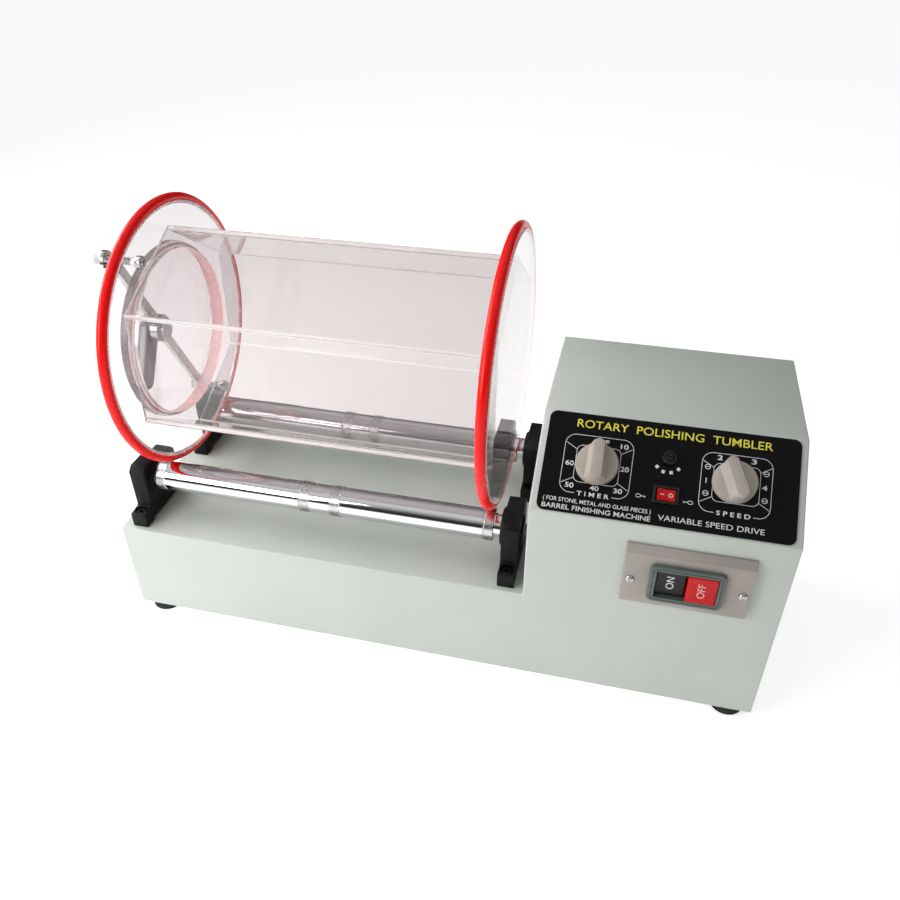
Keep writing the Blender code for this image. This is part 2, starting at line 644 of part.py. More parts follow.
# ---- push-button switch on the front ----
def switch_plate():
    """A moulded plate with its two long edges chamfered, round the switch's bezel."""
    half, edge = PLATE_HEIGHT / 2, 0.006
    section = [(-half, GAP), (half, GAP), (half, 0.002), (half - edge, PLATE_DEPTH),
               (-half + edge, PLATE_DEPTH), (-half, 0.002)]
    made = plate("switch_plate", section, PLATE_WIDTH, "plate_plastic", parent=front,
                 location=(PLATE_X, PLATE_UP, 0), rotation=(math.pi / 2, 0, math.pi / 2))
    cut(made, box("bezel_hole", (WELL_WIDTH + 0.0060, WELL_HEIGHT + 0.0060, 0.040), parent=front,
                  location=(PLATE_X, PLATE_UP, 0)))
    for sign in (-1, 1):
        spot = (PLATE_X + sign * SCREW_SPREAD, PLATE_UP - SCREW_DROP, 0)
        cut(made, cylinder(f"plate_screw_way_{sign}", 0.0023, 0.040, sides=16, parent=front, location=spot))
    return made


def plate_screws():
    base = PLATE_DEPTH + GAP
    profile = [(0, base + 0.0021), (0.0014, base + 0.0020), (0.0028, base + 0.0013), (0.0036, base),
               (0.0020, base), (0.0020, 0.0008), (0, 0.0008)]
    for end, sign in (("left", -1), ("right", 1)):
        spot = (PLATE_X + sign * SCREW_SPREAD, PLATE_UP - SCREW_DROP, 0)
        made = turned("plate_screw_" + end, profile, "steel", steps=14, parent=front, location=spot)
        for name, size in (("long", (0.0036, 0.0007, 0.0020)), ("cross", (0.0007, 0.0036, 0.0020))):
            cut(made, box(f"screw_{name}_{end}", size, parent=front,
                          location=(spot[0], spot[1], base + 0.0021)))


def switch_housing():
    """The grey-green bezel and the block of contacts behind it, moulded as one."""
    base = PLATE_DEPTH + GAP
    made = plate("switch_housing", rounded_rectangle(0.0590, 0.0375, 0.0050), BEZEL_COLLAR,
                 "grey_green_plastic", parent=front, location=(PLATE_X, PLATE_UP, base + BEZEL_COLLAR / 2))
    deep = 0.045
    body = box("switch_body", (WELL_WIDTH + 0.0050, WELL_HEIGHT + 0.0050, deep), parent=front,
               location=(PLATE_X, PLATE_UP, base + 0.001 - deep / 2))
    fuse(made, body)
    well_depth = 0.028
    well = box("switch_well", (WELL_WIDTH, WELL_HEIGHT, well_depth), parent=front,
               location=(PLATE_X, PLATE_UP, base + BEZEL_COLLAR + 0.002 - well_depth / 2))
    cut(made, well)


def buttons():
    """Two keys side by side: the black one is held in, the red one stands out."""
    each = WELL_WIDTH / 2 - 3 * GAP
    front_face = PLATE_DEPTH + 0.0046
    length = 0.016
    for name, slot, sign, sunk in (("on_button", "black_plastic", -1, BUTTON_TRAVEL),
                                   ("off_button", "red_plastic", 1, 0.0)):
        spot = (PLATE_X + sign * WELL_WIDTH / 4, PLATE_UP, front_face - sunk - length / 2)
        box(name, (each, WELL_HEIGHT - 3 * GAP, length), slot, bevel=0.0010, segments=2, parent=front,
            location=spot)


# ---- barrel ----
def groove_arc(count=4):
    """The rim's groove, from the upper lip to the lower one. It clears the ring by the gap."""
    radius = RING_TUBE + GAP
    spread = math.acos((RING_CENTRE - DISC_RADIUS) / radius)
    angles = [spread - 2 * spread * i / count for i in range(count + 1)]
    return [(RING_CENTRE - radius * math.cos(a), radius * math.sin(a)) for a in angles]


def discs():
    half = DISC_THICKNESS / 2
    rim = [(DISC_RADIUS, half)] + groove_arc() + [(DISC_RADIUS, -half)]
    turned("left_disc", [(MOUTH_RADIUS, half)] + rim + [(MOUTH_RADIUS, -half)], "clear_acrylic", ring=True,
           steps=BARREL_STEPS, parent=barrel, location=(LEFT_DISC_X, 0, 0), rotation=ALONG_X)
    turned("right_disc", [(0, half)] + rim + [(0, -half)], "clear_acrylic", steps=BARREL_STEPS,
           parent=barrel, location=(RIGHT_DISC_X, 0, 0), rotation=ALONG_X)


def rings():
    """Red rubber rings that the barrel rolls on."""
    sides = 8
    circle = [(RING_CENTRE + RING_TUBE * math.sin(a), RING_TUBE * math.cos(a))
              for a in [math.tau * (i + 0.5) / sides for i in range(sides)]]
    for name, x in (("left_ring", LEFT_DISC_X), ("right_ring", RIGHT_DISC_X)):
        turned(name, circle, "red_rubber", ring=True, steps=BARREL_STEPS, parent=barrel,
               location=(x, 0, 0), rotation=ALONG_X)


def hex_tube():
    """Six clear plates bonded into a tube, one corner near the top."""
    length = RIGHT_DISC_X - LEFT_DISC_X - DISC_THICKNESS - 2 * GAP
    middle = (RIGHT_DISC_X + LEFT_DISC_X) / 2
    turned_frame = frame("hex_frame", (middle, 0, 0), (HEX_TURN, 0, 0), barrel)
    hollow = HEX_RADIUS - HEX_WALL / math.cos(math.pi / 6)
    made = cylinder("hex_tube", HEX_RADIUS, length, "clear_acrylic", sides=6, parent=turned_frame,
                    rotation=ALONG_X)
    cut(made, cylinder("hex_hollow", hollow, length + 0.020, sides=6, parent=turned_frame,
                       rotation=ALONG_X))


# ---- lid and clamp ----
def lid_parts():
    half = LID_THICKNESS / 2
    profile = [(0, half), (LID_RADIUS - 0.001, half), (LID_RADIUS, half - 0.001),
               (LID_RADIUS, -half + 0.001), (LID_RADIUS - 0.001, -half), (0, -half)]
    turned("lid", profile, "clear_acrylic", steps=36, parent=barrel, location=(LID_FACE + half, 0, 0),
           rotation=ALONG_X)
    flat = GASKET_THICKNESS / 2
    seal = [(MOUTH_RADIUS + 0.0015, flat), (LID_RADIUS - 0.0015, flat), (LID_RADIUS - 0.0015, -flat),
            (MOUTH_RADIUS + 0.0015, -flat)]
    turned("gasket", seal, "seal_rubber", ring=True, steps=36, parent=barrel,
           location=(GASKET_FACE + flat, 0, 0), rotation=ALONG_X)


def clamp_bolts():
    """Bolts through the disc with their heads inside, and the nuts that hold the bar."""
    inner = DISC_FACE + DISC_THICKNESS + GAP
    outer_end = BAR_X - BAR_THICKNESS / 2 - 0.0070
    for name, where in (("upper", UPPER_BOLT), ("lower", -UPPER_BOLT)):
        head = [(0, inner + 0.0075), (0.0032, inner + 0.0075), (0.0036, inner + 0.0055),
                (0.0055, inner + 0.0050), (0.0055, inner), (CLAMP_SHANK, inner),
                (CLAMP_SHANK, outer_end), (0, outer_end)]
        turned("clamp_bolt_" + name, head, "steel", steps=18, parent=barrel, location=where,
               rotation=ALONG_X)
        nut = cylinder("clamp_nut_" + name, 0.0060, 0.0055, "steel", sides=6, parent=barrel,
                       location=where + Vector((BAR_X - BAR_THICKNESS / 2 - GAP - 0.00275, 0, 0)),
                       rotation=ALONG_X)
        cut(nut, cylinder("nut_bore_" + name, CLAMP_SHANK + GAP, 0.020, sides=18, parent=barrel,
                          location=where + Vector((BAR_X - 0.004, 0, 0)), rotation=ALONG_X))
        hole = Vector((DISC_FACE, 0, 0)) + where
        cut(bpy.data.objects["left_disc"],
            cylinder("bolt_hole_" + name, CLAMP_SHANK + GAP, 0.060, sides=18, parent=barrel, location=hole,
                     rotation=ALONG_X))


def clamp_bar():
    """A bar that turns on the lower bolt and hooks on the upper one by a side notch."""
    pivot = frame("clamp_pivot", -UPPER_BOLT, (CLAMP_ANGLE, 0, 0), barrel)
    reach = 2 * BOLT_CIRCLE
    end = BAR_END_RADIUS
    outline = []
    for centre, start, inward in ((reach, -105, -1), (0, 75, 1)):
        outline.append((centre + inward * BAR_NECK, inward * BAR_HALF_WIDTH))
        for i in range(11):
            angle = math.radians(start + 210 * i / 10)
            outline.append((centre + end * math.cos(angle), end * math.sin(angle)))
        outline.append((centre + inward * BAR_NECK, -inward * BAR_HALF_WIDTH))
    flat = (math.pi / 2, 0, math.pi / 2)
    made = plate("clamp_bar", outline, BAR_THICKNESS, "steel", parent=pivot, location=(BAR_X, 0, 0),
                 rotation=flat)
    fuse(made, cylinder("bar_boss", 0.0115, 0.0080, sides=28, parent=pivot,
                        location=(BAR_X, BOLT_CIRCLE, 0), rotation=ALONG_X))
    way = CLAMP_SHANK + 2 * GAP
    cut(made, cylinder("pivot_hole", way, 0.030, sides=18, parent=pivot, location=(BAR_X, 0, 0),
                       rotation=ALONG_X))
    cut(made, cylinder("hook_end", way, 0.030, sides=18, parent=pivot, location=(BAR_X, reach, 0),
                       rotation=ALONG_X))
    cut(made, box("hook_mouth", (0.030, 2 * way, 0.020), parent=pivot, location=(BAR_X, reach, 0.010)))
    cut(made, cylinder("screw_way", SCREW_RADIUS + GAP, 0.030, sides=20, parent=pivot,
                       location=(BAR_X, BOLT_CIRCLE, 0), rotation=ALONG_X))


def clamp_screw():
    """The centre screw with its pressure pad, and the lever that turns it."""
    pad = LID_FACE - GAP
    head = LEVER_X - LEVER_THICKNESS / 2 - 0.0003
    profile = [(0, pad), (0.0085, pad), (0.0085, pad - 0.0016), (SCREW_RADIUS, pad - 0.0016),
               (SCREW_RADIUS, head), (0, head)]
    turned("clamp_screw", profile, "steel", steps=20, parent=barrel, rotation=ALONG_X)
    spot = (LEVER_X, 0, 0)
    outline = []
    for centre, radius, start in ((0, LEVER_HUB, -90), (-LEVER_LENGTH, LEVER_TIP, 90)):
        for i in range(11):
            angle = math.radians(start + 180 * i / 10)
            outline.append((centre + radius * math.cos(angle), radius * math.sin(angle)))
    holder = frame("lever_axis", spot, (LEVER_ANGLE + math.pi, 0, 0), barrel)
    made = plate("clamp_lever", outline, LEVER_THICKNESS, "steel", parent=holder,
                 rotation=(math.pi / 2, 0, math.pi / 2))
    cut(made, cylinder("lever_bore", SCREW_RADIUS + GAP, 0.030, sides=20, parent=holder, rotation=ALONG_X))


shell_object = cabinet_shell()
cut_cabinet(shell_object)
bottom_plate()
feet()
bearing_blocks()
rollers()
pulleys()
drive_belt()
drive_motor()
cord_gland()
control_label()
knob("timer_knob", TIMER_X, TIMER_UP, 0.0, "timer_shaft")
knob("speed_knob", SPEED_X, SPEED_UP, SPEED_REST, "speed_shaft")
housing_behind("timer_housing", TIMER_X, TIMER_UP, (0.046, 0.046, 0.034))
housing_behind("speed_housing", SPEED_X, SPEED_UP, (0.040, 0.040, 0.028))
rocker_switch()
fuse_parts()
switch_plate()
plate_screws()
switch_housing()
buttons()
discs()
rings()
hex_tube()
lid_parts()
clamp_bolts()
clamp_bar()
clamp_screw()
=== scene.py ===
"""Looks for a bench rotary tumbler: clear six-sided barrel, red rubber rings,
chrome rollers and a sheet-metal cabinet."""
import math

import bmesh
import bpy
from mathutils import Matrix, Vector


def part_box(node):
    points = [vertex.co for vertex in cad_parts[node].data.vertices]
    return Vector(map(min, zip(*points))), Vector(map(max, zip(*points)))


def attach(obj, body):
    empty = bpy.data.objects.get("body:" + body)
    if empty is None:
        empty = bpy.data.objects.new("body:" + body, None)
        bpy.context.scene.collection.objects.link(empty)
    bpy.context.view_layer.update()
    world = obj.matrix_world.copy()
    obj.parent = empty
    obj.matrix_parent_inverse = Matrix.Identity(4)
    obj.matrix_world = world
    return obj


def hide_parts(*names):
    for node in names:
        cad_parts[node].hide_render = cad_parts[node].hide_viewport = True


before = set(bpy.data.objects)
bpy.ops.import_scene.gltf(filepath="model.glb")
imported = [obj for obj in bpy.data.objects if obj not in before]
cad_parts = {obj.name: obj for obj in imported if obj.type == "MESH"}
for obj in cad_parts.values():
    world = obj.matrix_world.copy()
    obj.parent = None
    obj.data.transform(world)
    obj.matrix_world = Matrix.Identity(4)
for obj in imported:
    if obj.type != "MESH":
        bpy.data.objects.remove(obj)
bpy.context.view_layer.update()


def put_in(name, data):
    """An object for a mesh, a curve, a light or a camera, put in the scene."""
    made = bpy.data.objects.new(name, data)
    bpy.context.scene.collection.objects.link(made)
    return made


EYE = Vector((0.15196, -0.62082, 0.62884))
LOOK_AT = Vector((0.00072, 0.0, 0.17792))
EYE_ROLL = math.radians(-0.229)
eye_data = bpy.data.cameras.new("viewpoint")
eye_data.lens = 33.30
eye_data.sensor_width = 36.0
eye_data.clip_start = 0.01
eye_data.shift_y = -0.0012
eye = put_in("viewpoint", eye_data)
aim = (LOOK_AT - EYE).to_track_quat("-Z", "Y").to_matrix().to_4x4()
eye.matrix_world = Matrix.Translation(EYE) @ aim @ Matrix.Rotation(EYE_ROLL, 4, "Z")
bpy.context.scene.camera = eye


def diffuser(name, where, towards, width, height, watts):
    """A rectangular soft light that faces a point."""
    light = bpy.data.lights.new(name, "AREA")
    light.shape = "RECTANGLE"
    light.size = width
    light.size_y = height
    light.energy = watts
    turn = (Vector(towards) - Vector(where)).to_track_quat("-Z", "Y").to_matrix().to_4x4()
    put_in(name, light).matrix_world = Matrix.Translation(Vector(where)) @ turn


diffuser("front_left_diffuser", (-0.66, -0.78, 0.60), (-0.14, -0.05, 0.10), 0.6, 0.45, 5.6)
diffuser("left_diffuser", (-1.10, 0.05, 0.75), (-0.15, 0.0, 0.10), 0.8, 0.8, 10.0)

# The room, by height: a bright ceiling, dimmer walls near eye level. Seen
# directly it is plain white.
ROOM_STRENGTH = 0.80
BOUNCES = 24                      # light crosses many faces of clear acrylic
surround = bpy.data.worlds.new("white_surround")
surround.use_nodes = True
room = surround.node_tree
seen_way = room.nodes.new("ShaderNodeTexCoord")
parts = room.nodes.new("ShaderNodeSeparateXYZ")
by_height = room.nodes.new("ShaderNodeValToRGB")
for element, height, grey in zip(by_height.color_ramp.elements, (0.0, 0.80), (0.14, 0.84)):
    element.position = height
    element.color = (grey, grey, grey, 1.0)
for height, grey in ((0.06, 0.03), (0.36, 0.06), (0.58, 0.40)):
    by_height.color_ramp.elements.new(height).color = (grey, grey, grey, 1.0)
direct = room.nodes.new("ShaderNodeLightPath")
choice = room.nodes.new("ShaderNodeMix")
choice.data_type = "RGBA"
room.links.new(seen_way.outputs["Generated"], parts.inputs["Vector"])
room.links.new(parts.outputs["Z"], by_height.inputs["Fac"])
room.links.new(by_height.outputs["Color"], choice.inputs[6])
room.links.new(direct.outputs["Is Camera Ray"], choice.inputs["Factor"])
choice.inputs[7].default_value = (1.2, 1.2, 1.2, 1.0)
room.links.new(choice.outputs[2], room.nodes["Background"].inputs["Color"])
room.nodes["Background"].inputs["Strength"].default_value = ROOM_STRENGTH
bpy.context.scene.world = surround
bpy.context.scene.view_settings.view_transform = "Standard"
bpy.context.scene.cycles.max_bounces = BOUNCES
bpy.context.scene.cycles.transmission_bounces = BOUNCES


# Helpers for every finish: a shader with its own constants, and noise on the
# piece's own coordinates for colour, roughness and relief.
def finish(name, color, roughness, metallic=0.0, **sockets):
    """A new finish. Sockets are Principled inputs with underscores for spaces."""
    made = bpy.data.materials.new(name)
    made.use_nodes = True
    shader = made.node_tree.nodes["Principled BSDF"]
    shader.inputs["Base Color"].default_value = (*color, 1.0)
    shader.inputs["Roughness"].default_value = roughness
    shader.inputs["Metallic"].default_value = metallic
    for socket, value in sockets.items():
        shader.inputs[socket.replace("_", " ")].default_value = value
    return made


def grain(material, scale, detail=4.0, stretch=(1.0, 1.0, 1.0)):
    """Noise on the piece's own coordinates, in features per metre."""
    nodes, links = material.node_tree.nodes, material.node_tree.links
    place = nodes.new("ShaderNodeTexCoord")
    spread = nodes.new("ShaderNodeMapping")
    spread.inputs["Scale"].default_value = stretch
    noise = nodes.new("ShaderNodeTexNoise")
    noise.inputs["Scale"].default_value = scale
    noise.inputs["Detail"].default_value = detail
    links.new(place.outputs["Object"], spread.inputs["Vector"])
    links.new(spread.outputs["Vector"], noise.inputs["Vector"])
    return noise.outputs["Fac"]


def vary_color(material, source, low, high, start=0.35, end=0.65):
    """Lets the colour drift between two close shades."""
    ramp = material.node_tree.nodes.new("ShaderNodeValToRGB")
    for element, position, color in zip(ramp.color_ramp.elements, (start, end), (low, high)):
        element.position = position
        element.color = (*color, 1.0)
    links = material.node_tree.links
    links.new(source, ramp.inputs["Fac"])
    links.new(ramp.outputs["Color"],
              material.node_tree.nodes["Principled BSDF"].inputs["Base Color"])


def vary_roughness(material, source, low, high):
    """Lets the roughness drift between two values."""
    spread = material.node_tree.nodes.new("ShaderNodeMapRange")
    spread.inputs["From Min"].default_value = 0.3
    spread.inputs["From Max"].default_value = 0.7
    spread.inputs["To Min"].default_value = low
    spread.inputs["To Max"].default_value = high
    links = material.node_tree.links
    links.new(source, spread.inputs["Value"])
    links.new(spread.outputs["Result"],
              material.node_tree.nodes["Principled BSDF"].inputs["Roughness"])


def relief(material, source, depth, strength=1.0):
    """Bump as deep as given, in metres. A second call adds to the first."""
    nodes, links = material.node_tree.nodes, material.node_tree.links
    normal = nodes["Principled BSDF"].inputs["Normal"]
    bump = nodes.new("ShaderNodeBump")
    bump.inputs["Strength"].default_value = strength
    bump.inputs["Distance"].default_value = depth
    if normal.is_linked:
        links.new(normal.links[0].from_socket, bump.inputs["Normal"])
    links.new(source, bump.inputs["Height"])
    links.new(bump.outputs["Normal"], normal)


bench_white = finish("bench_white", (0.80, 0.80, 0.80), 0.80, Specular_IOR_Level=0.2,
                     Emission_Strength=0.60,
                     Emission_Color=(1.0, 1.0, 1.0, 1.0))
relief(bench_white, grain(bench_white, 60.0), 0.0002, 0.3)
bench_mesh = bpy.data.meshes.new("bench_top")
BENCH = 6.0
bench_mesh.from_pydata([(-BENCH, -BENCH, 0), (BENCH, -BENCH, 0), (BENCH, BENCH, 0),
                        (-BENCH, BENCH, 0)],
                       [], [(0, 1, 2, 3)])
bench_mesh.materials.append(bench_white)
put_in("bench_top", bench_mesh)

# ---------------------------------------------------------------------------
# Cabinet: 1.5 mm steel sheet, folded on a press brake to a low deck and a head
# with a sloped face, spot-welded at the corners and powder-coated pale green.
shell_low, shell_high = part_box("cabinet_shell")
GAP = 0.0003                      # left between pieces that touch
deck_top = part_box("bearing_block_front_left")[0].z - GAP
SHEET = 0.0015
FOLD_RADIUS = 0.0016
HEAD_START = 0.390                # head's left wall from the cabinet's left wall
SLOPE_START = 0.1942              # bottom of the sloped face above the lower edge
SLOPE_RUN = 0.072
left, front, base = shell_low
slope_lean = math.atan2(shell_high.z - base - SLOPE_START, SLOPE_RUN)
slope_lay = Matrix.Rotation(slope_lean, 4, "X")
slope_frame = Matrix.Translation((left, front, base + SLOPE_START)) @ slope_lay
front_frame = Matrix.Translation((left, front, base)) @ Matrix.Rotation(math.pi / 2, 4, "X")


def show(name, work, materials, body, stands_for=(), smooth_below=40):
    """Turns a finished bmesh into a piece that rides on a body."""
    mesh = bpy.data.meshes.new(name)
    work.normal_update()
    work.to_mesh(mesh)
    work.free()
    for material in materials if isinstance(materials, (list, tuple)) else [materials]:
        mesh.materials.append(material)
    mesh.shade_smooth()
    mesh.set_sharp_from_angle(angle=math.radians(smooth_below))
    piece = put_in(name, mesh)
    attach(piece, body)
    if stands_for:
        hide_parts(*stands_for)
    return piece


def laid(work, place):
    """Moves a bmesh made about the origin to its place on the machine."""
    bmesh.ops.transform(work, matrix=place, verts=work.verts)
    return work


def worked_out(holder):
    """An object's mesh with its modifiers worked out, as a bmesh."""
    seen = holder.evaluated_get(bpy.context.evaluated_depsgraph_get())
    work = bmesh.new()
    work.from_mesh(bpy.data.meshes.new_from_object(seen))
    return work


def hexagon(radius):
    return [(radius * math.cos(math.tau * k / 6), radius * math.sin(math.tau * k / 6))
            for k in range(6)]


def arc(radius, start, step, count, x=0.0, y=0.0):
    """Points round a middle, from a start angle, with a step in degrees."""
    return [(x + radius * math.cos(a), y + radius * math.sin(a))
            for a in [math.radians(start + step * k) for k in range(count)]]


def round_edges(work, width, segments=2, sharper_than=30):
    """Rounds every edge that turns more than the given angle."""
    edges = [e for e in work.edges if len(e.link_faces) == 2
             and math.degrees(e.calc_face_angle(0)) > sharper_than]
    bmesh.ops.bevel(work, geom=edges, offset=width, segments=segments, profile=0.5,
                    affect="EDGES", clamp_overlap=True)


def block(size, middle, place=Matrix(), bevel=0.0, segments=2):
    """A box with rounded edges, as a bmesh."""
    work = bmesh.new()
    bmesh.ops.create_cube(work, size=1.0,
                          matrix=Matrix.Translation(middle) @ Matrix.Diagonal((*size, 1.0)))
    if bevel:
        round_edges(work, bevel, segments)
    return laid(work, place)


def turned(profile, steps=64, place=Matrix()):
    """Turns (radius, height) points about local Z, from the top down the outer side.
    Radius 0 closes a pole."""
    work = bmesh.new()
    rows = []
    for radius, height in profile:
        if radius == 0:
            rows.append([work.verts.new((0, 0, height))])
            continue
        rows.append([work.verts.new((radius * math.cos(math.tau * i / steps),
                                     radius * math.sin(math.tau * i / steps), height))
                     for i in range(steps)])
    runs = list(zip(rows, rows[1:]))
    if profile[0][0] and profile[-1][0]:
        runs.append((rows[-1], rows[0]))
    for upper, lower in runs:
        for i in range(steps):
            j = (i + 1) % steps
            if len(upper) == 1 and len(lower) > 1:
                work.faces.new((upper[0], lower[i], lower[j]))
            elif len(lower) == 1 and len(upper) > 1:
                work.faces.new((upper[i], lower[0], upper[j]))
            elif len(upper) > 1:
                work.faces.new((upper[i], lower[i], lower[j], upper[j]))
    return laid(work, place)


def prism(outline, bottom, top, place=Matrix(), bevel=0.0, segments=2, sharper_than=30):
    """A flat outline in local XY, drawn up from bottom to top along local Z."""
    work = bmesh.new()
    face = work.faces.new([work.verts.new((x, y, bottom)) for x, y in outline])
    raised = bmesh.ops.extrude_face_region(work, geom=[face])
    for vert in (v for v in raised["geom"] if isinstance(v, bmesh.types.BMVert)):
        vert.co.z = top
    bmesh.ops.recalc_face_normals(work, faces=work.faces)
    if bevel:
        round_edges(work, bevel, segments, sharper_than)
    return laid(work, place)


def joined(*works):
    """Several bmeshes as one."""
    whole = bmesh.new()
    for work in works:
        loose = bpy.data.meshes.new("loose")
        work.to_mesh(loose)
        work.free()
        whole.from_mesh(loose)
        bpy.data.meshes.remove(loose)
    return whole


WELD = 0.000002                   # corners closer than this are one


def carved(work, tools, operation="DIFFERENCE"):
    """Cuts each tool out of a closed bmesh, or fuses it on, and returns the result."""
    holders = []
    for shape in [work] + list(tools):
        mesh = bpy.data.meshes.new("blank")
        shape.to_mesh(mesh)
        shape.free()
        holders.append(put_in("blank", mesh))
    for tool in holders[1:]:
        step = holders[0].modifiers.new("carve", "BOOLEAN")
        step.operation = operation
        step.solver = "EXACT"
        step.object = tool
    result = worked_out(holders[0])
    bmesh.ops.remove_doubles(result, verts=result.verts, dist=WELD)
    for holder in holders:
        bpy.data.objects.remove(holder, do_unlink=True)
    return result


ALONG_X = Matrix.Rotation(math.pi / 2, 4, "Y")
powder_coat = finish("powder_coat", (0.53, 0.575, 0.53), 0.42, Coat_Weight=0.15,
                     Coat_Roughness=0.25)
vary_color(powder_coat, grain(powder_coat, 9.0), (0.515, 0.560, 0.512), (0.545, 0.585, 0.540))
vary_roughness(powder_coat, grain(powder_coat, 25.0), 0.36, 0.50)
relief(powder_coat, grain(powder_coat, 700.0, 3.0), 0.00008, 0.5)
relief(powder_coat, grain(powder_coat, 14.0, 1.0), 0.0006, 0.35)


def cabinet_sheet():
    """The outside as one folded skin, rounded at the folds, then given the sheet's thickness."""
    across = (0, SLOPE_RUN, shell_high.y - front)
    width = shell_high.x - left
    deck = deck_top - base
    height = shell_high.z - base
    work = bmesh.new()
    grid = {}

    def point(x, y, z):
        key = (round(x, 6), round(y, 6), round(z, 6))
        if key not in grid:
            grid[key] = work.verts.new((left + x, front + y, base + z))
        return grid[key]

    depth = across[2]
    slope_top = [(across[0], SLOPE_START), (across[1], height), (depth, height)]
    work.faces.new([point(x, 0, z)
                    for x, z in ((0, 0), (HEAD_START, 0), (width, 0), (width, SLOPE_START),
                                                (HEAD_START, SLOPE_START), (HEAD_START, deck),
                                 (0, deck))])
    work.faces.new([point(x, depth, z) for x, z in ((0, 0), (0, deck), (HEAD_START, deck),
                                                    (HEAD_START, height), (width, height),
                                                    (width, 0),
                                                    (HEAD_START, 0))])
    work.faces.new([point(0, y, z) for y, z in ((0, 0), (0, deck), (depth, deck), (depth, 0))])
    work.faces.new([point(x, y, deck)
                    for x, y in ((0, 0), (HEAD_START, 0), (HEAD_START, depth), (0, depth))])
    side = [(0, deck)] + [(y, z) for y, z in slope_top] + [(depth, deck)]
    work.faces.new([point(HEAD_START, y, z) for y, z in side])
    work.faces.new([point(width, y, z) for y, z in [(0, 0)] + slope_top + [(depth, 0)]])
    for (y0, z0), (y1, z1) in zip(slope_top, slope_top[1:]):
        work.faces.new([point(HEAD_START, y0, z0), point(width, y0, z0), point(width, y1, z1),
                        point(HEAD_START, y1, z1)])
    bmesh.ops.recalc_face_normals(work, faces=work.faces)
    if sum(f.normal.z * f.calc_area() for f in work.faces) < 0:
        bmesh.ops.reverse_faces(work, faces=work.faces)
    round_edges(work, FOLD_RADIUS, 4, 10)
    skin = bpy.data.meshes.new("skin")
    work.to_mesh(skin)
    work.free()
    holder = put_in("skin", skin)
    wall = holder.modifiers.new("sheet", "SOLIDIFY")
    wall.thickness = SHEET
    wall.offset = -1.0
    wall.use_even_offset = True
    solid = worked_out(holder)
    bpy.data.objects.remove(holder, do_unlink=True)
    return solid


# Holes in the sheet: shafts, round holder and rocker in the slope, the push-button
# switch in the front, the roller's end in the head's left wall, gland and vents behind.
THROUGH = 0.012                   # length of a cutting tool
PANEL_HOLE = 0.0050               # radius
ROCKER_HOLE = (0.0178, 0.0126)
dials = {"timer": (0.4390, 0.0440), "speed": (0.5458, 0.0445)}
rocker_spot, holder_spot = (0.4950, 0.0265), (0.4950, 0.0575)
PLATE_X, PLATE_UP = 0.5212, 0.1450
panel_holes = [*dials.values(), holder_spot]
rear_axis = (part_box("rear_roller")[0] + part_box("rear_roller")[1]) / 2


def rod(radius, length, place, steps=32):
    return turned([(0, length / 2), (radius, length / 2), (radius, -length / 2), (0, -length / 2)],
                  steps, place)


sheet_cuts = [rod(PANEL_HOLE, THROUGH, slope_frame @ Matrix.Translation((x, up, 0)))
              for x, up in panel_holes]
sheet_cuts.append(rod(0.008, THROUGH,
                      Matrix.Translation((left + HEAD_START, rear_axis.y, rear_axis.z)) @ ALONG_X))
sheet_cuts.append(block((*ROCKER_HOLE, THROUGH), (*rocker_spot, 0), slope_frame))
sheet_cuts.append(block((0.0540, 0.0335, THROUGH), (PLATE_X, PLATE_UP, 0), front_frame))
gland_low, gland_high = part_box("cord_gland")
gland_spot = Vector(((gland_low.x + gland_high.x) / 2, shell_high.y,
                     (gland_low.z + gland_high.z) / 2))
sheet_cuts.append(rod(0.0072, THROUGH,
                      Matrix.Translation(gland_spot) @ Matrix.Rotation(math.pi / 2, 4, "X")))
VENT_COUNT, VENT_PITCH = 6, 0.011
VENT_X, VENT_UP, VENT_HALF, VENT_TIP = 0.530, 0.150, 0.035, 0.00175
for row in range(VENT_COUNT):
    middle = Vector((left + VENT_X, shell_high.y, base + VENT_UP + row * VENT_PITCH))
    straight = VENT_HALF - VENT_TIP
    ends = arc(VENT_TIP, -90, 30, 7, straight) + arc(VENT_TIP, 90, 30, 7, -straight)
    lay = Matrix.Translation(middle) @ Matrix.Rotation(math.pi / 2, 4, "X")
    sheet_cuts.append(prism(ends, -THROUGH / 2, THROUGH / 2, lay))
show("folded_cabinet", carved(cabinet_sheet(), sheet_cuts), powder_coat, "cabinet",
     ["cabinet_shell"],
     30)


def refinish(node, material):
    """Gives a CAD node that stays in view, or stays inside, its worked-out finish."""
    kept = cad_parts[node]
    for slot in kept.material_slots:
        slot.material = material
    kept.data.shade_smooth()
    kept.data.set_sharp_from_angle(angle=math.radians(35))


refinish("bottom_plate", powder_coat)

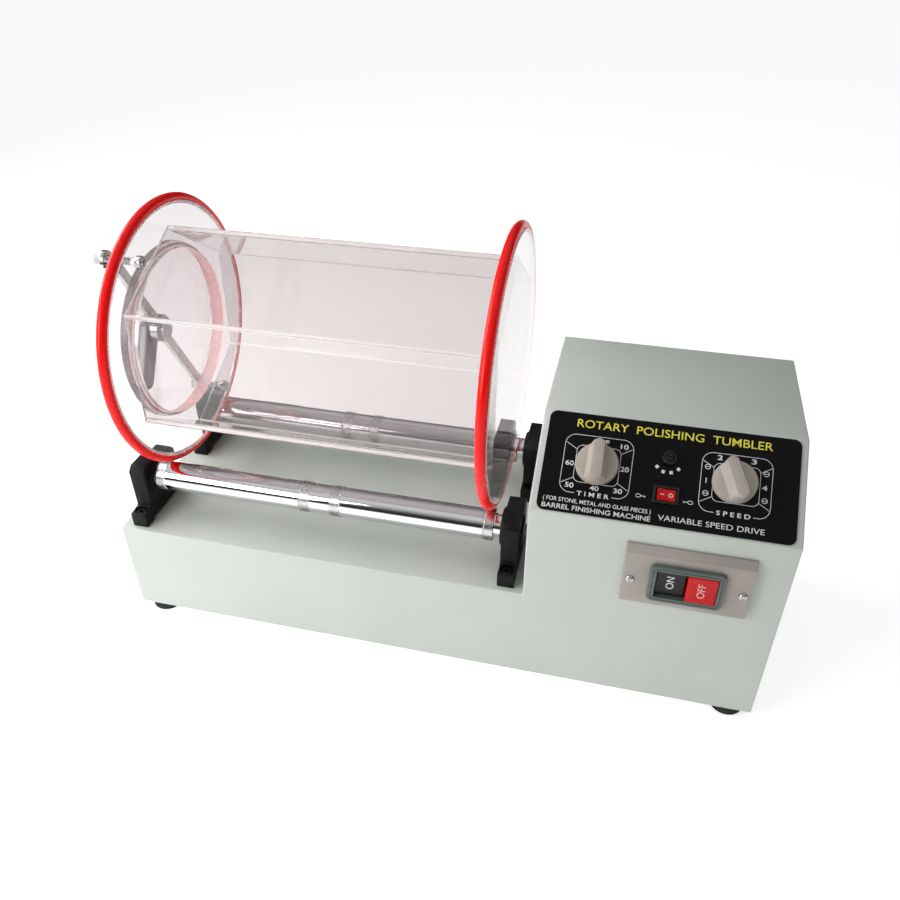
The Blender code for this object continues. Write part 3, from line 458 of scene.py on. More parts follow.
# ---------------------------------------------------------------------------
# Feet: moulded black rubber, ribbed round the side, held by a stem through the
# bottom plate.
foot_rubber = finish("foot_rubber", (0.018, 0.018, 0.019), 0.72, Specular_IOR_Level=0.35)
vary_color(foot_rubber, grain(foot_rubber, 90.0), (0.014, 0.014, 0.015), (0.030, 0.030, 0.031))
relief(foot_rubber, grain(foot_rubber, 900.0), 0.00015, 0.6)
FOOT_RADIUS, FOOT_NECK, FOOT_STEM = 0.015, 0.0125, 0.0040
for side in ("front", "rear"):
    for end in ("left", "right"):
        foot_low, foot_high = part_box(f"foot_{side}_{end}")
        spot = Matrix.Translation(((foot_low.x + foot_high.x) / 2, (foot_low.y + foot_high.y) / 2,
                                   0))
        seat = foot_high.z - 0.006
        ribs = []
        for rib in range(3):
            height = 0.0086 - 0.0022 * rib
            ribs += [(FOOT_RADIUS, height), (FOOT_RADIUS, height - 0.0012),
                     (FOOT_RADIUS - 0.0005, height - 0.0014),
                     (FOOT_RADIUS - 0.0005, height - 0.0020)]
        profile = [(0, foot_high.z), (FOOT_STEM, foot_high.z), (FOOT_STEM, seat), (FOOT_NECK, seat),
                   (FOOT_NECK, base - 0.0004), (FOOT_RADIUS - 0.0006, base - 0.0004),
                   (FOOT_RADIUS, base - 0.0010)] + ribs
        profile += [(FOOT_RADIUS, 0.0018), (FOOT_RADIUS, 0.0010), (FOOT_RADIUS - 0.0004, 0.0003),
                    (FOOT_RADIUS - 0.0010, 0.0), (0.0060, 0.0), (0.0055, 0.0015), (0, 0.0015)]
        show(f"rubber_foot_{side}_{end}", turned(profile, 56, spot), foot_rubber, "cabinet",
             [f"foot_{side}_{end}"])

# ---------------------------------------------------------------------------
# Bearing blocks: four iron castings with a boss on the inner side, bored for a
# ball bearing, finished in black enamel and bolted down through their feet.
BLOCK_DEPTH = 0.0152
BLOCK_HALF_HEAD, BLOCK_HALF_FOOT = 0.0231, 0.0362
BLOCK_HEIGHT, BLOCK_FOOT, BLOCK_WAIST = 0.0593, 0.0144, 0.0180
BLOCK_CHAMFER = 0.0050
ARCH_HALF, ARCH_HEIGHT = 0.0220, 0.0025
BOLT_OFFSET = 0.0298
BORE = 0.0133
SCREW_HOLE, COUNTERBORE = 0.0034, 0.0056
black_enamel = finish("black_enamel", (0.004, 0.004, 0.005), 0.42, Specular_IOR_Level=0.15)
vary_color(black_enamel, grain(black_enamel, 45.0), (0.003, 0.003, 0.004), (0.008, 0.008, 0.009))
vary_roughness(black_enamel, grain(black_enamel, 60.0), 0.32, 0.52)
relief(black_enamel, grain(black_enamel, 420.0, 3.0), 0.00022, 0.7)
half_outline = [(ARCH_HALF, ARCH_HEIGHT), (ARCH_HALF + 0.001, 0), (BLOCK_HALF_FOOT, 0),
                (BLOCK_HALF_FOOT, BLOCK_FOOT), (BLOCK_HALF_HEAD + 0.0008, BLOCK_FOOT + 0.0012),
                (BLOCK_HALF_HEAD, BLOCK_WAIST), (BLOCK_HALF_HEAD, BLOCK_HEIGHT - BLOCK_CHAMFER),
                (BLOCK_HALF_HEAD - BLOCK_CHAMFER, BLOCK_HEIGHT)]
block_shape = half_outline + [(-y, z) for y, z in reversed(half_outline)]
UPRIGHT = Matrix.Rotation(math.pi / 2, 4, "Z") @ Matrix.Rotation(math.pi / 2, 4, "X")


def casting(place, axis_height):
    """One block, its inner side towards local +X, its foot on local z = 0."""
    body = prism(block_shape, -BLOCK_DEPTH / 2, BLOCK_DEPTH / 2, UPRIGHT, 0.0007, 2)
    outer = BLOCK_DEPTH / 2
    boss = turned([(0, outer + 0.0025), (0.0167, outer + 0.0025), (0.0175, outer + 0.0018),
                   (0.0178, outer - 0.0010), (0.0178, -0.001), (0, -0.001)], 64,
                  Matrix.Translation((0, 0, axis_height)) @ ALONG_X)
    body = carved(body, [boss], "UNION")
    tools = [rod(BORE, 0.060, Matrix.Translation((0, 0, axis_height)) @ ALONG_X, 64)]
    for sign in (-1, 1):
        tools.append(rod(SCREW_HOLE, 0.060, Matrix.Translation((0, sign * BOLT_OFFSET, 0)), 32))
        tools.append(rod(COUNTERBORE, 0.020, Matrix.Translation((0, sign * BOLT_OFFSET, 0.0195)),
                         40))
    return laid(carved(body, tools), place)


bearing_steel = finish("bearing_steel", (0.60, 0.60, 0.61), 0.28, 1.0)
vary_roughness(bearing_steel, grain(bearing_steel, 300.0, 2.0), 0.20, 0.38)
relief(bearing_steel, grain(bearing_steel, 150.0, 2.0, (40.0, 1.0, 1.0)), 0.00002, 0.4)
SHAFT = 0.0060
race_profile = [(SHAFT + 0.0002, 0.0048), (SHAFT + 0.0004, 0.0050), (0.0083, 0.0050),
                (0.0084, 0.0044),
                (0.0108, 0.0044), (0.0109, 0.0050), (0.0127, 0.0050), (0.0130, 0.0047)]
race_profile += [(radius, -height) for radius, height in reversed(race_profile)]
for side in ("front", "rear"):
    for end, facing in (("left", 0.0), ("right", math.pi)):
        cad_low, cad_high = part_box(f"bearing_{side}_{end}")
        axis = (cad_low + cad_high) / 2
        stand = Matrix.Translation((axis.x, axis.y, deck_top + GAP)) @ Matrix.Rotation(facing, 4,
                                                                                       "Z")
        show(f"bearing_casting_{side}_{end}", casting(stand, axis.z - deck_top - GAP), black_enamel,
             "cabinet", [f"bearing_block_{side}_{end}"], 32)
        show(f"ball_bearing_{side}_{end}",
             turned(race_profile, 64, Matrix.Translation(axis) @ ALONG_X),
             bearing_steel, "cabinet", [f"bearing_{side}_{end}"], 30)

# ---------------------------------------------------------------------------
# Block screws: eight socket-head cap screws of blackened steel, knurled round
# the head, sunk in the counterbores. One screw is turned and set out on points.
screw_black = finish("screw_black", (0.035, 0.034, 0.033), 0.36, 0.9)
vary_roughness(screw_black, grain(screw_black, 400.0), 0.28, 0.48)
relief(screw_black, grain(screw_black, 900.0), 0.00005, 0.4)


SCREW_HEAD = 0.0045


def socket_screw(head_bottom, end):
    """A cap screw about local Z: ribbed head, hexagon socket, plain shank."""
    top = head_bottom + SCREW_HEAD
    work = turned([(0, top), (0.0043, top), (0.0049, top - 0.0005), (0.0049, head_bottom),
                   (0.0030, head_bottom),
                   (0.0030, end + 0.0005), (0.0026, end), (0, end)], 48)
    for vert in work.verts:
        radius = vert.co.xy.length
        if radius > 0.0048 and round(math.atan2(vert.co.y, vert.co.x) / math.tau * 48) % 2:
            vert.co.xy *= 0.965
    key = turned([(0, top + 0.002), (0.0023, top + 0.002), (0.0023, top - 0.0024),
                  (0, top - 0.0030)], 6)
    return carved(work, [key])


def set_out_tree(name):
    """Geometry Nodes: puts a pattern piece on every point of a mesh, as real faces."""
    tree = bpy.data.node_groups.new(name, "GeometryNodeTree")
    for label, kind in (("Points", "Geometry"), ("Pattern piece", "Object"), ("Finish", "Material"),
                        ("Turn", "Vector")):
        tree.interface.new_socket(name=label, in_out="INPUT", socket_type="NodeSocket" + kind)
    tree.interface.new_socket(name="Pieces", in_out="OUTPUT", socket_type="NodeSocketGeometry")
    nodes, links = tree.nodes, tree.links
    given, result = nodes.new("NodeGroupInput"), nodes.new("NodeGroupOutput")
    pattern = nodes.new("GeometryNodeObjectInfo")
    spread = nodes.new("GeometryNodeInstanceOnPoints")
    turn = nodes.new("GeometryNodeInputNamedAttribute")
    turn.data_type = "FLOAT_VECTOR"
    turn.inputs["Name"].default_value = "lay"
    add = nodes.new("ShaderNodeVectorMath")
    realize = nodes.new("GeometryNodeRealizeInstances")
    coat = nodes.new("GeometryNodeSetMaterial")
    links.new(given.outputs["Pattern piece"], pattern.inputs["Object"])
    links.new(given.outputs["Points"], spread.inputs["Points"])
    links.new(pattern.outputs["Geometry"], spread.inputs["Instance"])
    links.new(turn.outputs["Attribute"], add.inputs[0])
    links.new(given.outputs["Turn"], add.inputs[1])
    links.new(add.outputs["Vector"], spread.inputs["Rotation"])
    links.new(spread.outputs["Instances"], realize.inputs["Geometry"])
    links.new(realize.outputs["Geometry"], coat.inputs["Geometry"])
    links.new(given.outputs["Finish"], coat.inputs["Material"])
    links.new(coat.outputs["Geometry"], result.inputs[0])
    return tree


set_out = set_out_tree("set_out_pieces")


def set_out_pieces(name, pattern, spots, lays, material, body, stands_for):
    """Sets a pattern piece out at points, each with its own Euler lay, as one finished piece."""
    shape = bpy.data.meshes.new(name + "_pattern")
    pattern.to_mesh(shape)
    pattern.free()
    master = put_in(name + "_pattern", shape)
    points = bpy.data.meshes.new(name + "_points")
    points.from_pydata([tuple(s) for s in spots], [], [])
    lay = points.attributes.new("lay", "FLOAT_VECTOR", "POINT")
    for item, value in zip(lay.data, lays):
        item.vector = value
    holder = put_in(name + "_points", points)
    step = holder.modifiers.new("set_out", "NODES")
    step.node_group = set_out
    inputs = {"Pattern piece": master, "Finish": material, "Turn": (0, 0, 0)}
    for socket in set_out.interface.items_tree:
        if socket.name in inputs:
            step[socket.identifier] = inputs[socket.name]
    work = worked_out(holder)
    for made in (master, holder):
        bpy.data.objects.remove(made, do_unlink=True)
    return show(name, work, material, body, stands_for, 32)


screw_nodes = [n for n in sorted(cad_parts) if n.startswith("block_bolt_")]
screw_spots = []
for node in screw_nodes:
    cad_low, cad_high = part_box(node)
    screw_spots.append(((cad_low.x + cad_high.x) / 2, (cad_low.y + cad_high.y) / 2, 0.0))
screw_low, screw_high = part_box(screw_nodes[0])
screw_lays = [(0, 0, 0.7 * number) for number in range(len(screw_nodes))]
set_out_pieces("block_screws", socket_screw(screw_high.z - SCREW_HEAD, screw_low.z), screw_spots,
               screw_lays,
               screw_black, "cabinet", screw_nodes)

# ---------------------------------------------------------------------------
# Rollers: ground steel bar, turned down at the ends, with four diamond-knurled
# bands left standing, then polished and chrome-plated.
chrome = finish("chrome_plate", (0.78, 0.78, 0.80), 0.06, 1.0)
vary_roughness(chrome, grain(chrome, 30.0, 3.0, (0.3, 1.0, 1.0)), 0.035, 0.10)
relief(chrome, grain(chrome, 55.0, 2.0, (0.12, 1.0, 1.0)), 0.00012, 0.22)
knurl_steel = finish("knurled_chrome", (0.60, 0.59, 0.59), 0.24, 1.0)
vary_roughness(knurl_steel, grain(knurl_steel, 500.0), 0.18, 0.34)
ROLLER_RADIUS, BAND_RADIUS, NECK = 0.0140, 0.0145, 0.0105
KNURL_ROUND, KNURL_PITCH, KNURL_DEPTH = 96, 0.00048, 0.00045
bands = [(0.3471, 0.3570), (0.2046, 0.2152), (0.1744, 0.1851), (0.0307, 0.0400)]


def band_rows(low, high):
    """Heights of a knurled band, from the top down, with a small chamfer at each end."""
    count = round((high - low - 0.0008) / KNURL_PITCH)
    inner = [high - 0.0004 - (high - low - 0.0008) * i / count for i in range(count + 1)]
    return [(ROLLER_RADIUS - 0.0002, high, 0)] + [(BAND_RADIUS, z, 1) for z in inner] + \
           [(ROLLER_RADIUS - 0.0002, low, 0)]


def roller(shaft_end, place):
    """The whole roller; rows marked 1 carry the diamond knurl."""
    rows = [(0, shaft_end, 0), (SHAFT - 0.0006, shaft_end, 0), (SHAFT, shaft_end - 0.0006, 0),
            (SHAFT, 0.3632, 0), (NECK - 0.0004, 0.3632, 0), (NECK, 0.3628, 0), (NECK, 0.3571, 0)]
    for number, (low, high) in enumerate(bands):
        rows += band_rows(low, high)
        if number < len(bands) - 1:
            following = bands[number + 1][1]
            rows += [(ROLLER_RADIUS - 0.0002, low - 0.0002, 0), (ROLLER_RADIUS, low - 0.0004, 0),
                     (ROLLER_RADIUS, following + 0.0004, 0),
                     (ROLLER_RADIUS - 0.0002, following + 0.0002, 0)]
    rows += [(NECK, 0.0306, 0), (NECK, 0.0291, 0), (SHAFT, 0.0290, 0), (SHAFT, 0.0131, 0),
             (SHAFT - 0.0006, 0.0125, 0), (0, 0.0125, 0)]
    work = turned([(radius, z) for radius, z, knurl in rows], KNURL_ROUND)
    marks = {round(z, 7) for radius, z, knurl in rows if knurl}
    for vert in work.verts:
        if round(vert.co.z, 7) in marks and vert.co.xy.length > ROLLER_RADIUS:
            turn = math.atan2(vert.co.y, vert.co.x) / math.tau * KNURL_ROUND
            row = vert.co.z / KNURL_PITCH
            if (round(turn) + round(row)) % 2:
                vert.co.xy *= 1 - KNURL_DEPTH / BAND_RADIUS
    for face in work.faces:
        low = min(v.co.z for v in face.verts)
        face.material_index = int(any(a + 0.0003 < low < b - 0.0005 for a, b in bands))
    return laid(work, place)


for node, shaft_end in (("front_roller", 0.3795), ("rear_roller", 0.4160)):
    cad_low, cad_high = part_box(node)
    axis = (cad_low + cad_high) / 2
    lay = Matrix.Translation((left, axis.y, axis.z)) @ ALONG_X
    show(node.replace("_", "_chromed_"), roller(shaft_end, lay), [chrome, knurl_steel], node,
         [node], 25)

# ---------------------------------------------------------------------------
# Drive, inside the head: an induction motor on a pressed foot, a small pulley
# on its shaft, a large one on the rear roller, and a round rubber belt.
motor_enamel = finish("motor_enamel", (0.060, 0.075, 0.085), 0.45)
vary_color(motor_enamel, grain(motor_enamel, 30.0), (0.05, 0.062, 0.072), (0.075, 0.09, 0.10))
relief(motor_enamel, grain(motor_enamel, 500.0), 0.0002, 0.5)
refinish("drive_motor", motor_enamel)
turned_aluminium = finish("turned_aluminium", (0.66, 0.66, 0.67), 0.32, 1.0)
vary_roughness(turned_aluminium, grain(turned_aluminium, 900.0, 2.0, (4.0, 0.4, 0.4)), 0.24, 0.40)
relief(turned_aluminium, grain(turned_aluminium, 600.0, 2.0, (6.0, 0.3, 0.3)), 0.00003, 0.4)
for node in ("roller_pulley", "motor_pulley"):
    refinish(node, turned_aluminium)
belt_rubber = finish("belt_rubber", (0.020, 0.020, 0.021), 0.60)
vary_color(belt_rubber, grain(belt_rubber, 120.0), (0.015, 0.015, 0.016), (0.032, 0.032, 0.033))
relief(belt_rubber, grain(belt_rubber, 800.0), 0.0001, 0.5)
refinish("drive_belt", belt_rubber)

# ---------------------------------------------------------------------------
# Gland: a black nylon fitting with a flanged hexagon and a domed cap, screwed
# into the back wall near the floor.
black_nylon = finish("black_nylon", (0.010, 0.010, 0.011), 0.38, Specular_IOR_Level=0.28)
vary_roughness(black_nylon, grain(black_nylon, 80.0), 0.32, 0.48)
relief(black_nylon, grain(black_nylon, 650.0), 0.00006, 0.5)
gland_lay = Matrix.Translation(gland_spot) @ Matrix.Rotation(-math.pi / 2, 4, "X")
GLAND_BORE = 0.0035
gland_cap = [(GLAND_BORE, 0.0140), (0.0052, 0.0140), (0.0064, 0.0136), (0.0074, 0.0126),
             (0.0079, 0.0110),
             (0.0079, 0.0062), (0.0093, 0.0060), (0.0095, 0.0056), (0.0095, 0.0005),
             (0.0093, 0.0003),
             (0.0068, 0.0003), (0.0068, -0.0080), (GLAND_BORE, -0.0080)]
gland_nut = prism(hexagon(0.0094), 0.0058, 0.0100, bevel=0.0004)
gland = carved(turned(gland_cap, 60), [carved(gland_nut, [rod(0.0060, 0.04, Matrix(), 48)])],
               "UNION")
show("cord_bushing", laid(gland, gland_lay), black_nylon, "cabinet", ["cord_gland"],
     30)

# ---------------------------------------------------------------------------
# Barrel ends: two discs sawn from clear cast acrylic, grooved round the rim.
# The left one has a round mouth and two bolt holes. Machined edges stay duller.
ring_low, ring_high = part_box("left_ring")
axis_y, axis_z = (ring_low.y + ring_high.y) / 2, (ring_low.z + ring_high.z) / 2
left_disc_x = (ring_low.x + ring_high.x) / 2
right_ring_low, right_ring_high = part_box("right_ring")
right_disc_x = (right_ring_low.x + right_ring_high.x) / 2
RING_TUBE = 0.0045
RING_CENTRE = (ring_high.z - ring_low.z) / 2 - RING_TUBE
DISC_RADIUS, DISC_HALF, MOUTH, DISC_STEPS = 0.1175, 0.0050, 0.0750, 192
EDGE_BREAK = 0.0004
PLATE_SMOOTH, TUBE_SMOOTH = 12, 5  # degrees; more would bend the light in a flat plate
acrylic = finish("clear_acrylic_sheet", (0.75, 0.72, 0.73), 0.012, IOR=1.49,
                 Transmission_Weight=1.0)
relief(acrylic, grain(acrylic, 11.0, 1.0), 0.0008, 0.18)
acrylic_edge = finish("machined_acrylic_edge", (0.92, 0.79, 0.79), 0.24, IOR=1.49,
                      Transmission_Weight=0.75)
vary_roughness(acrylic_edge, grain(acrylic_edge, 90.0, 2.0), 0.22, 0.36)
relief(acrylic_edge, grain(acrylic_edge, 240.0, 2.0), 0.00003, 0.3)
tube_acrylic = finish("drawn_acrylic_plate", (0.78, 0.745, 0.745), 0.012, IOR=1.49,
                      Transmission_Weight=1.0)
relief(tube_acrylic, grain(tube_acrylic, 9.0, 1.0), 0.0008, 0.15)
relief(tube_acrylic, grain(tube_acrylic, 320.0, 2.0, (0.012, 1.0, 1.0)), 0.00006, 0.25)
# Whitish finish for the narrow strips along the plates' long corners: partly the bond line, partly
# a painted highlight along the edges.
joint_and_painted_highlight = finish("bonded_joint_and_painted_highlight", (0.97, 0.93, 0.93), 0.30, IOR=1.49, Transmission_Weight=0.75)
vary_roughness(joint_and_painted_highlight, grain(joint_and_painted_highlight, 120.0, 2.0, (0.1, 1.0, 1.0)), 0.22, 0.40)
relief(joint_and_painted_highlight, grain(joint_and_painted_highlight, 260.0, 2.0, (0.1, 1.0, 1.0)), 0.00004, 0.3)


def see_through(piece):
    """Clear acrylic lets the light by, so what lies behind it isn't in its shade."""
    piece.visible_shadow = False


def on_barrel(x, y=0.0, z=0.0):
    """A place on the barrel's axis, with local Z along world +X."""
    return Matrix.Translation((x, axis_y + y, axis_z + z)) @ ALONG_X


groove_reach = RING_TUBE + 0.0003
groove_spread = math.acos((RING_CENTRE - DISC_RADIUS) / groove_reach)
groove = [(RING_CENTRE - groove_reach * math.cos(a), groove_reach * math.sin(a))
          for a in [groove_spread * (1 - k / 5) for k in range(11)]]
rim = [(DISC_RADIUS - EDGE_BREAK, DISC_HALF),
       (DISC_RADIUS, DISC_HALF - EDGE_BREAK * 0.5)] + groove + \
      [(DISC_RADIUS, -DISC_HALF + EDGE_BREAK * 0.5), (DISC_RADIUS - EDGE_BREAK, -DISC_HALF)]
mouth_edge = [(MOUTH + EDGE_BREAK, DISC_HALF), (MOUTH, DISC_HALF - EDGE_BREAK),
              (MOUTH, -DISC_HALF + EDGE_BREAK),
              (MOUTH + EDGE_BREAK, -DISC_HALF)]


def dull_edges(work):
    """Gives the duller finish to every face that doesn't lie flat across the barrel's axis."""
    work.normal_update()
    for face in work.faces:
        if abs(face.normal.x) < 0.99:
            face.material_index = 1
    return work


bolt_spots = {}
for end in ("upper", "lower"):
    cad_low, cad_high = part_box(f"clamp_bolt_{end}")
    bolt_spots[end] = ((cad_low.y + cad_high.y) / 2 - axis_y, (cad_low.z + cad_high.z) / 2 - axis_z)
left_profile = mouth_edge[:1] + rim + mouth_edge[:0:-1]
left_disc = turned(left_profile, DISC_STEPS, on_barrel(left_disc_x))
left_disc = carved(left_disc, [rod(0.0033, 0.04, on_barrel(left_disc_x, *bolt_spots[end]))
                               for end in bolt_spots])
see_through(show("clear_end_disc_left", dull_edges(left_disc), [acrylic, acrylic_edge], "barrel",
                 ["left_disc"],
                 PLATE_SMOOTH))
right_disc = turned([(0, DISC_HALF)] + rim + [(0, -DISC_HALF)], DISC_STEPS, on_barrel(right_disc_x))
see_through(show("clear_end_disc_right", dull_edges(right_disc), [acrylic, acrylic_edge], "barrel",
                 ["right_disc"], PLATE_SMOOTH))

# ---------------------------------------------------------------------------
# Barrel tube: six clear plates with mitred long edges, bonded into a hexagon
# and bonded by their ends to the discs.
HEX_RADIUS, HEX_WALL, HEX_TURN = 0.100, 0.005, math.radians(26.6)
HEX_INNER = HEX_RADIUS - HEX_WALL / math.cos(math.pi / 6)
JOINT_BREAK = 0.0010
tube_low, tube_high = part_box("hex_tube")


def tube_corner(radius, k):
    """Corner k of the hexagon about the barrel's axis. The second one is near the top."""
    angle = HEX_TURN + math.tau * k / 6
    return Vector((0, axis_y + radius * math.cos(angle), axis_z + radius * math.sin(angle)))


def bonded_tube():
    """The six plates as one hollow body, its long edges and joints marked for their finishes; the
    joint strips also carry a painted highlight along the edges.
    """
    work = bmesh.new()
    rows = []
    for radius, x in ((HEX_RADIUS, tube_low.x), (HEX_RADIUS, tube_high.x), (HEX_INNER, tube_high.x),
                      (HEX_INNER, tube_low.x)):
        rows.append([work.verts.new(tube_corner(radius, k) + Vector((x, 0, 0))) for k in range(6)])
    for one, other in zip(rows, rows[1:] + rows[:1]):
        for k in range(6):
            work.faces.new((one[k], one[(k + 1) % 6], other[(k + 1) % 6], other[k]))
    bmesh.ops.recalc_face_normals(work, faces=work.faces)
    long_edges = [e for e in work.edges if abs((e.verts[0].co - e.verts[1].co).x) > 0.1]
    bmesh.ops.bevel(work, geom=long_edges, offset=JOINT_BREAK, segments=2, profile=0.5,
                    affect="EDGES")
    work.normal_update()
    for face in work.faces:
        flat_end = abs(face.normal.x) > 0.9
        narrow = min(e.calc_length() for e in face.edges) < 2 * JOINT_BREAK
        face.material_index = 1 if flat_end else 2 * int(narrow)
    return work


see_through(show("bonded_hexagonal_tube", bonded_tube(), [tube_acrylic, acrylic_edge, joint_and_painted_highlight],
                 "barrel",
                 ["hex_tube"], TUBE_SMOOTH))

# Cement in the mitres: a thin clouded layer from the inner to the outer corner, whitened as well to
# paint the highlight along the corners.
seam_cement_and_painted_highlight = finish("seam_cement_and_painted_highlight", (0.97, 0.90, 0.90), 0.45, IOR=1.49, Transmission_Weight=0.35)
vary_roughness(seam_cement_and_painted_highlight, grain(seam_cement_and_painted_highlight, 140.0, 2.0, (0.1, 1.0, 1.0)), 0.35, 0.55)
relief(seam_cement_and_painted_highlight, grain(seam_cement_and_painted_highlight, 260.0, 2.0, (0.1, 1.0, 1.0)), 0.00005, 0.4)
SEAM, SEAM_CLEAR = 0.00025, 0.0012
seams = []
for corner in range(6):
    outer = tube_corner(HEX_RADIUS - SEAM_CLEAR, corner)
    inner = tube_corner(HEX_INNER + SEAM_CLEAR / 2, corner)
    middle = (outer + inner) / 2 + Vector(((tube_low.x + tube_high.x) / 2, 0, 0))
    turn = Matrix.Translation(middle) @ Matrix.Rotation(HEX_TURN + math.tau * corner / 6, 4, "X")
    seams.append(block((tube_high.x - tube_low.x - 0.001, (outer - inner).length, SEAM), (0, 0, 0),
                       turn))
show("cemented_seams", joined(*seams), seam_cement_and_painted_highlight, "barrel",
     smooth_below=TUBE_SMOOTH)

# ---------------------------------------------------------------------------
# Tyres: red silicone cord, moulded as endless rings and stretched into the
# grooves of the discs. A fine flash line runs round the outside.
red_silicone = finish("red_silicone", (0.95, 0.005, 0.005), 0.30, Subsurface_Weight=0.10,
                      Subsurface_Scale=0.003,
                      Specular_IOR_Level=0.25)
vary_color(red_silicone, grain(red_silicone, 40.0), (0.92, 0.004, 0.004), (0.97, 0.006, 0.006))
vary_roughness(red_silicone, grain(red_silicone, 60.0, 2.0), 0.22, 0.32)
relief(red_silicone, grain(red_silicone, 70.0, 2.0), 0.00008, 0.2)
FLASH, TYRE_STEPS = 0.00015, 28
tyre_section = []
for step in range(TYRE_STEPS):
    turn = math.tau * step / TYRE_STEPS
    reach = RING_TUBE - (FLASH if step else 0.0)
    tyre_section.append((RING_CENTRE + reach * math.cos(turn), reach * math.sin(turn)))
for node, x in (("left_ring", left_disc_x), ("right_ring", right_disc_x)):
    show(f"silicone_tyre_{node.split('_')[0]}",
         turned(tyre_section[::-1], DISC_STEPS, on_barrel(x)), red_silicone,
         "barrel", [node], 60)

# ---------------------------------------------------------------------------
# Lid: a clear disc over the mouth, with a soft translucent ring cut from sheet
# lying between it and the end disc.
lid_low, lid_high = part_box("lid")
lid_middle, lid_half = (lid_low.x + lid_high.x) / 2, (lid_high.x - lid_low.x) / 2
LID_RADIUS, SEAL_IN, SEAL_OUT = 0.080, 0.0765, 0.0785
lid_profile = [(0, lid_half), (LID_RADIUS - 0.001, lid_half),
               (LID_RADIUS - 0.0002, lid_half - 0.0003),
               (LID_RADIUS, lid_half - 0.001), (LID_RADIUS, -lid_half + 0.001),
               (LID_RADIUS - 0.0002, -lid_half + 0.0003), (LID_RADIUS - 0.001, -lid_half),
               (0, -lid_half)]
see_through(show("clear_lid", dull_edges(turned(lid_profile, 128, on_barrel(lid_middle))),
                 [acrylic, acrylic_edge],
                 "lid_clamp", ["lid"], PLATE_SMOOTH))
seal_silicone = finish("seal_silicone", (0.74, 0.50, 0.50), 0.42, Transmission_Weight=0.45,
                       IOR=1.42, Subsurface_Weight=0.3, Subsurface_Scale=0.003)
vary_roughness(seal_silicone, grain(seal_silicone, 150.0), 0.34, 0.52)
relief(seal_silicone, grain(seal_silicone, 300.0), 0.00008, 0.4)
seal_low, seal_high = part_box("gasket")
seal_half = (seal_high.x - seal_low.x) / 2
seal_profile = [(SEAL_IN + 0.0003, seal_half), (SEAL_OUT - 0.0003, seal_half),
                (SEAL_OUT, seal_half - 0.0003),
                (SEAL_OUT, -seal_half + 0.0003), (SEAL_OUT - 0.0003, -seal_half),
                (SEAL_IN + 0.0003, -seal_half),
                (SEAL_IN, -seal_half + 0.0003), (SEAL_IN, seal_half - 0.0003)]
show("lid_seal", turned(seal_profile, 128, on_barrel((seal_low.x + seal_high.x) / 2)),
     seal_silicone, "lid_clamp",
     ["gasket"], 30)

# ---------------------------------------------------------------------------
# Lid clamp: two plated bolts through the disc carry a flat steel bar. A screw
# in the bar's boss, turned by a cast lever, presses the lid on its seal.
bright_steel = finish("bright_zinc_steel", (0.58, 0.58, 0.57), 0.24, 1.0)
vary_color(bright_steel, grain(bright_steel, 60.0), (0.50, 0.50, 0.49), (0.66, 0.65, 0.63))
vary_roughness(bright_steel, grain(bright_steel, 220.0), 0.18, 0.34)
relief(bright_steel, grain(bright_steel, 420.0, 2.0), 0.00001, 0.3)
cast_lever_metal = finish("cast_lever_metal", (0.22, 0.22, 0.23), 0.34, 0.9)
vary_roughness(cast_lever_metal, grain(cast_lever_metal, 160.0), 0.30, 0.46)
relief(cast_lever_metal, grain(cast_lever_metal, 350.0), 0.00012, 0.5)
SHANK = 0.0030
THREAD_PITCH = 0.0008


def threaded(start, stop):
    """Rings of a fine thread, from the top down, as (radius, height) rows."""
    count = round((start - stop) / (THREAD_PITCH / 2))
    return [(SHANK - (0.00022 if k % 2 else 0.0), start + (stop - start) * k / count)
            for k in range(1, count)]


for end, (y, z) in bolt_spots.items():
    cad_low, cad_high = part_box(f"clamp_bolt_{end}")
    inner = cad_high.x - 0.0075 - left_disc_x
    tip = cad_low.x - left_disc_x
    dome = [(0.0036 * math.sin(a), inner + 0.0055 + 0.0020 * math.cos(a))
            for a in [math.pi / 2 * k / 8 for k in range(9)]]
    bolt = dome + [(0.0052, inner + 0.0051), (0.0055, inner + 0.0047), (0.0055, inner + 0.0003),
                   (0.0053, inner), (SHANK, inner)] + threaded(inner - 0.011, tip + 0.0006) + \
                  [(SHANK - 0.0005, tip), (0, tip)]
    bolt[0] = (0, bolt[0][1])
    show(f"clamp_stud_{end}", turned(bolt, 40, on_barrel(left_disc_x, y, z)), bright_steel,
         "barrel",
         [f"clamp_bolt_{end}"], 35)
    nut_low, nut_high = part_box(f"clamp_nut_{end}")
    hexagon_nut = prism(hexagon(0.0060), nut_low.x, nut_high.x)
    chamfer = turned([(0, nut_high.x), (0.0052, nut_high.x), (0.0062, nut_high.x - 0.0007),
                      (0.0062, nut_low.x + 0.0007), (0.0052, nut_low.x), (0, nut_low.x)], 48)
    nut = carved(carved(hexagon_nut, [chamfer], "INTERSECT"),
                 [rod(SHANK + 0.0003, 1.0, Matrix(), 32)])
    show(f"hexagon_nut_{end}", laid(nut, on_barrel(0, y, z)), bright_steel, "barrel",
         [f"clamp_nut_{end}"],
         30)

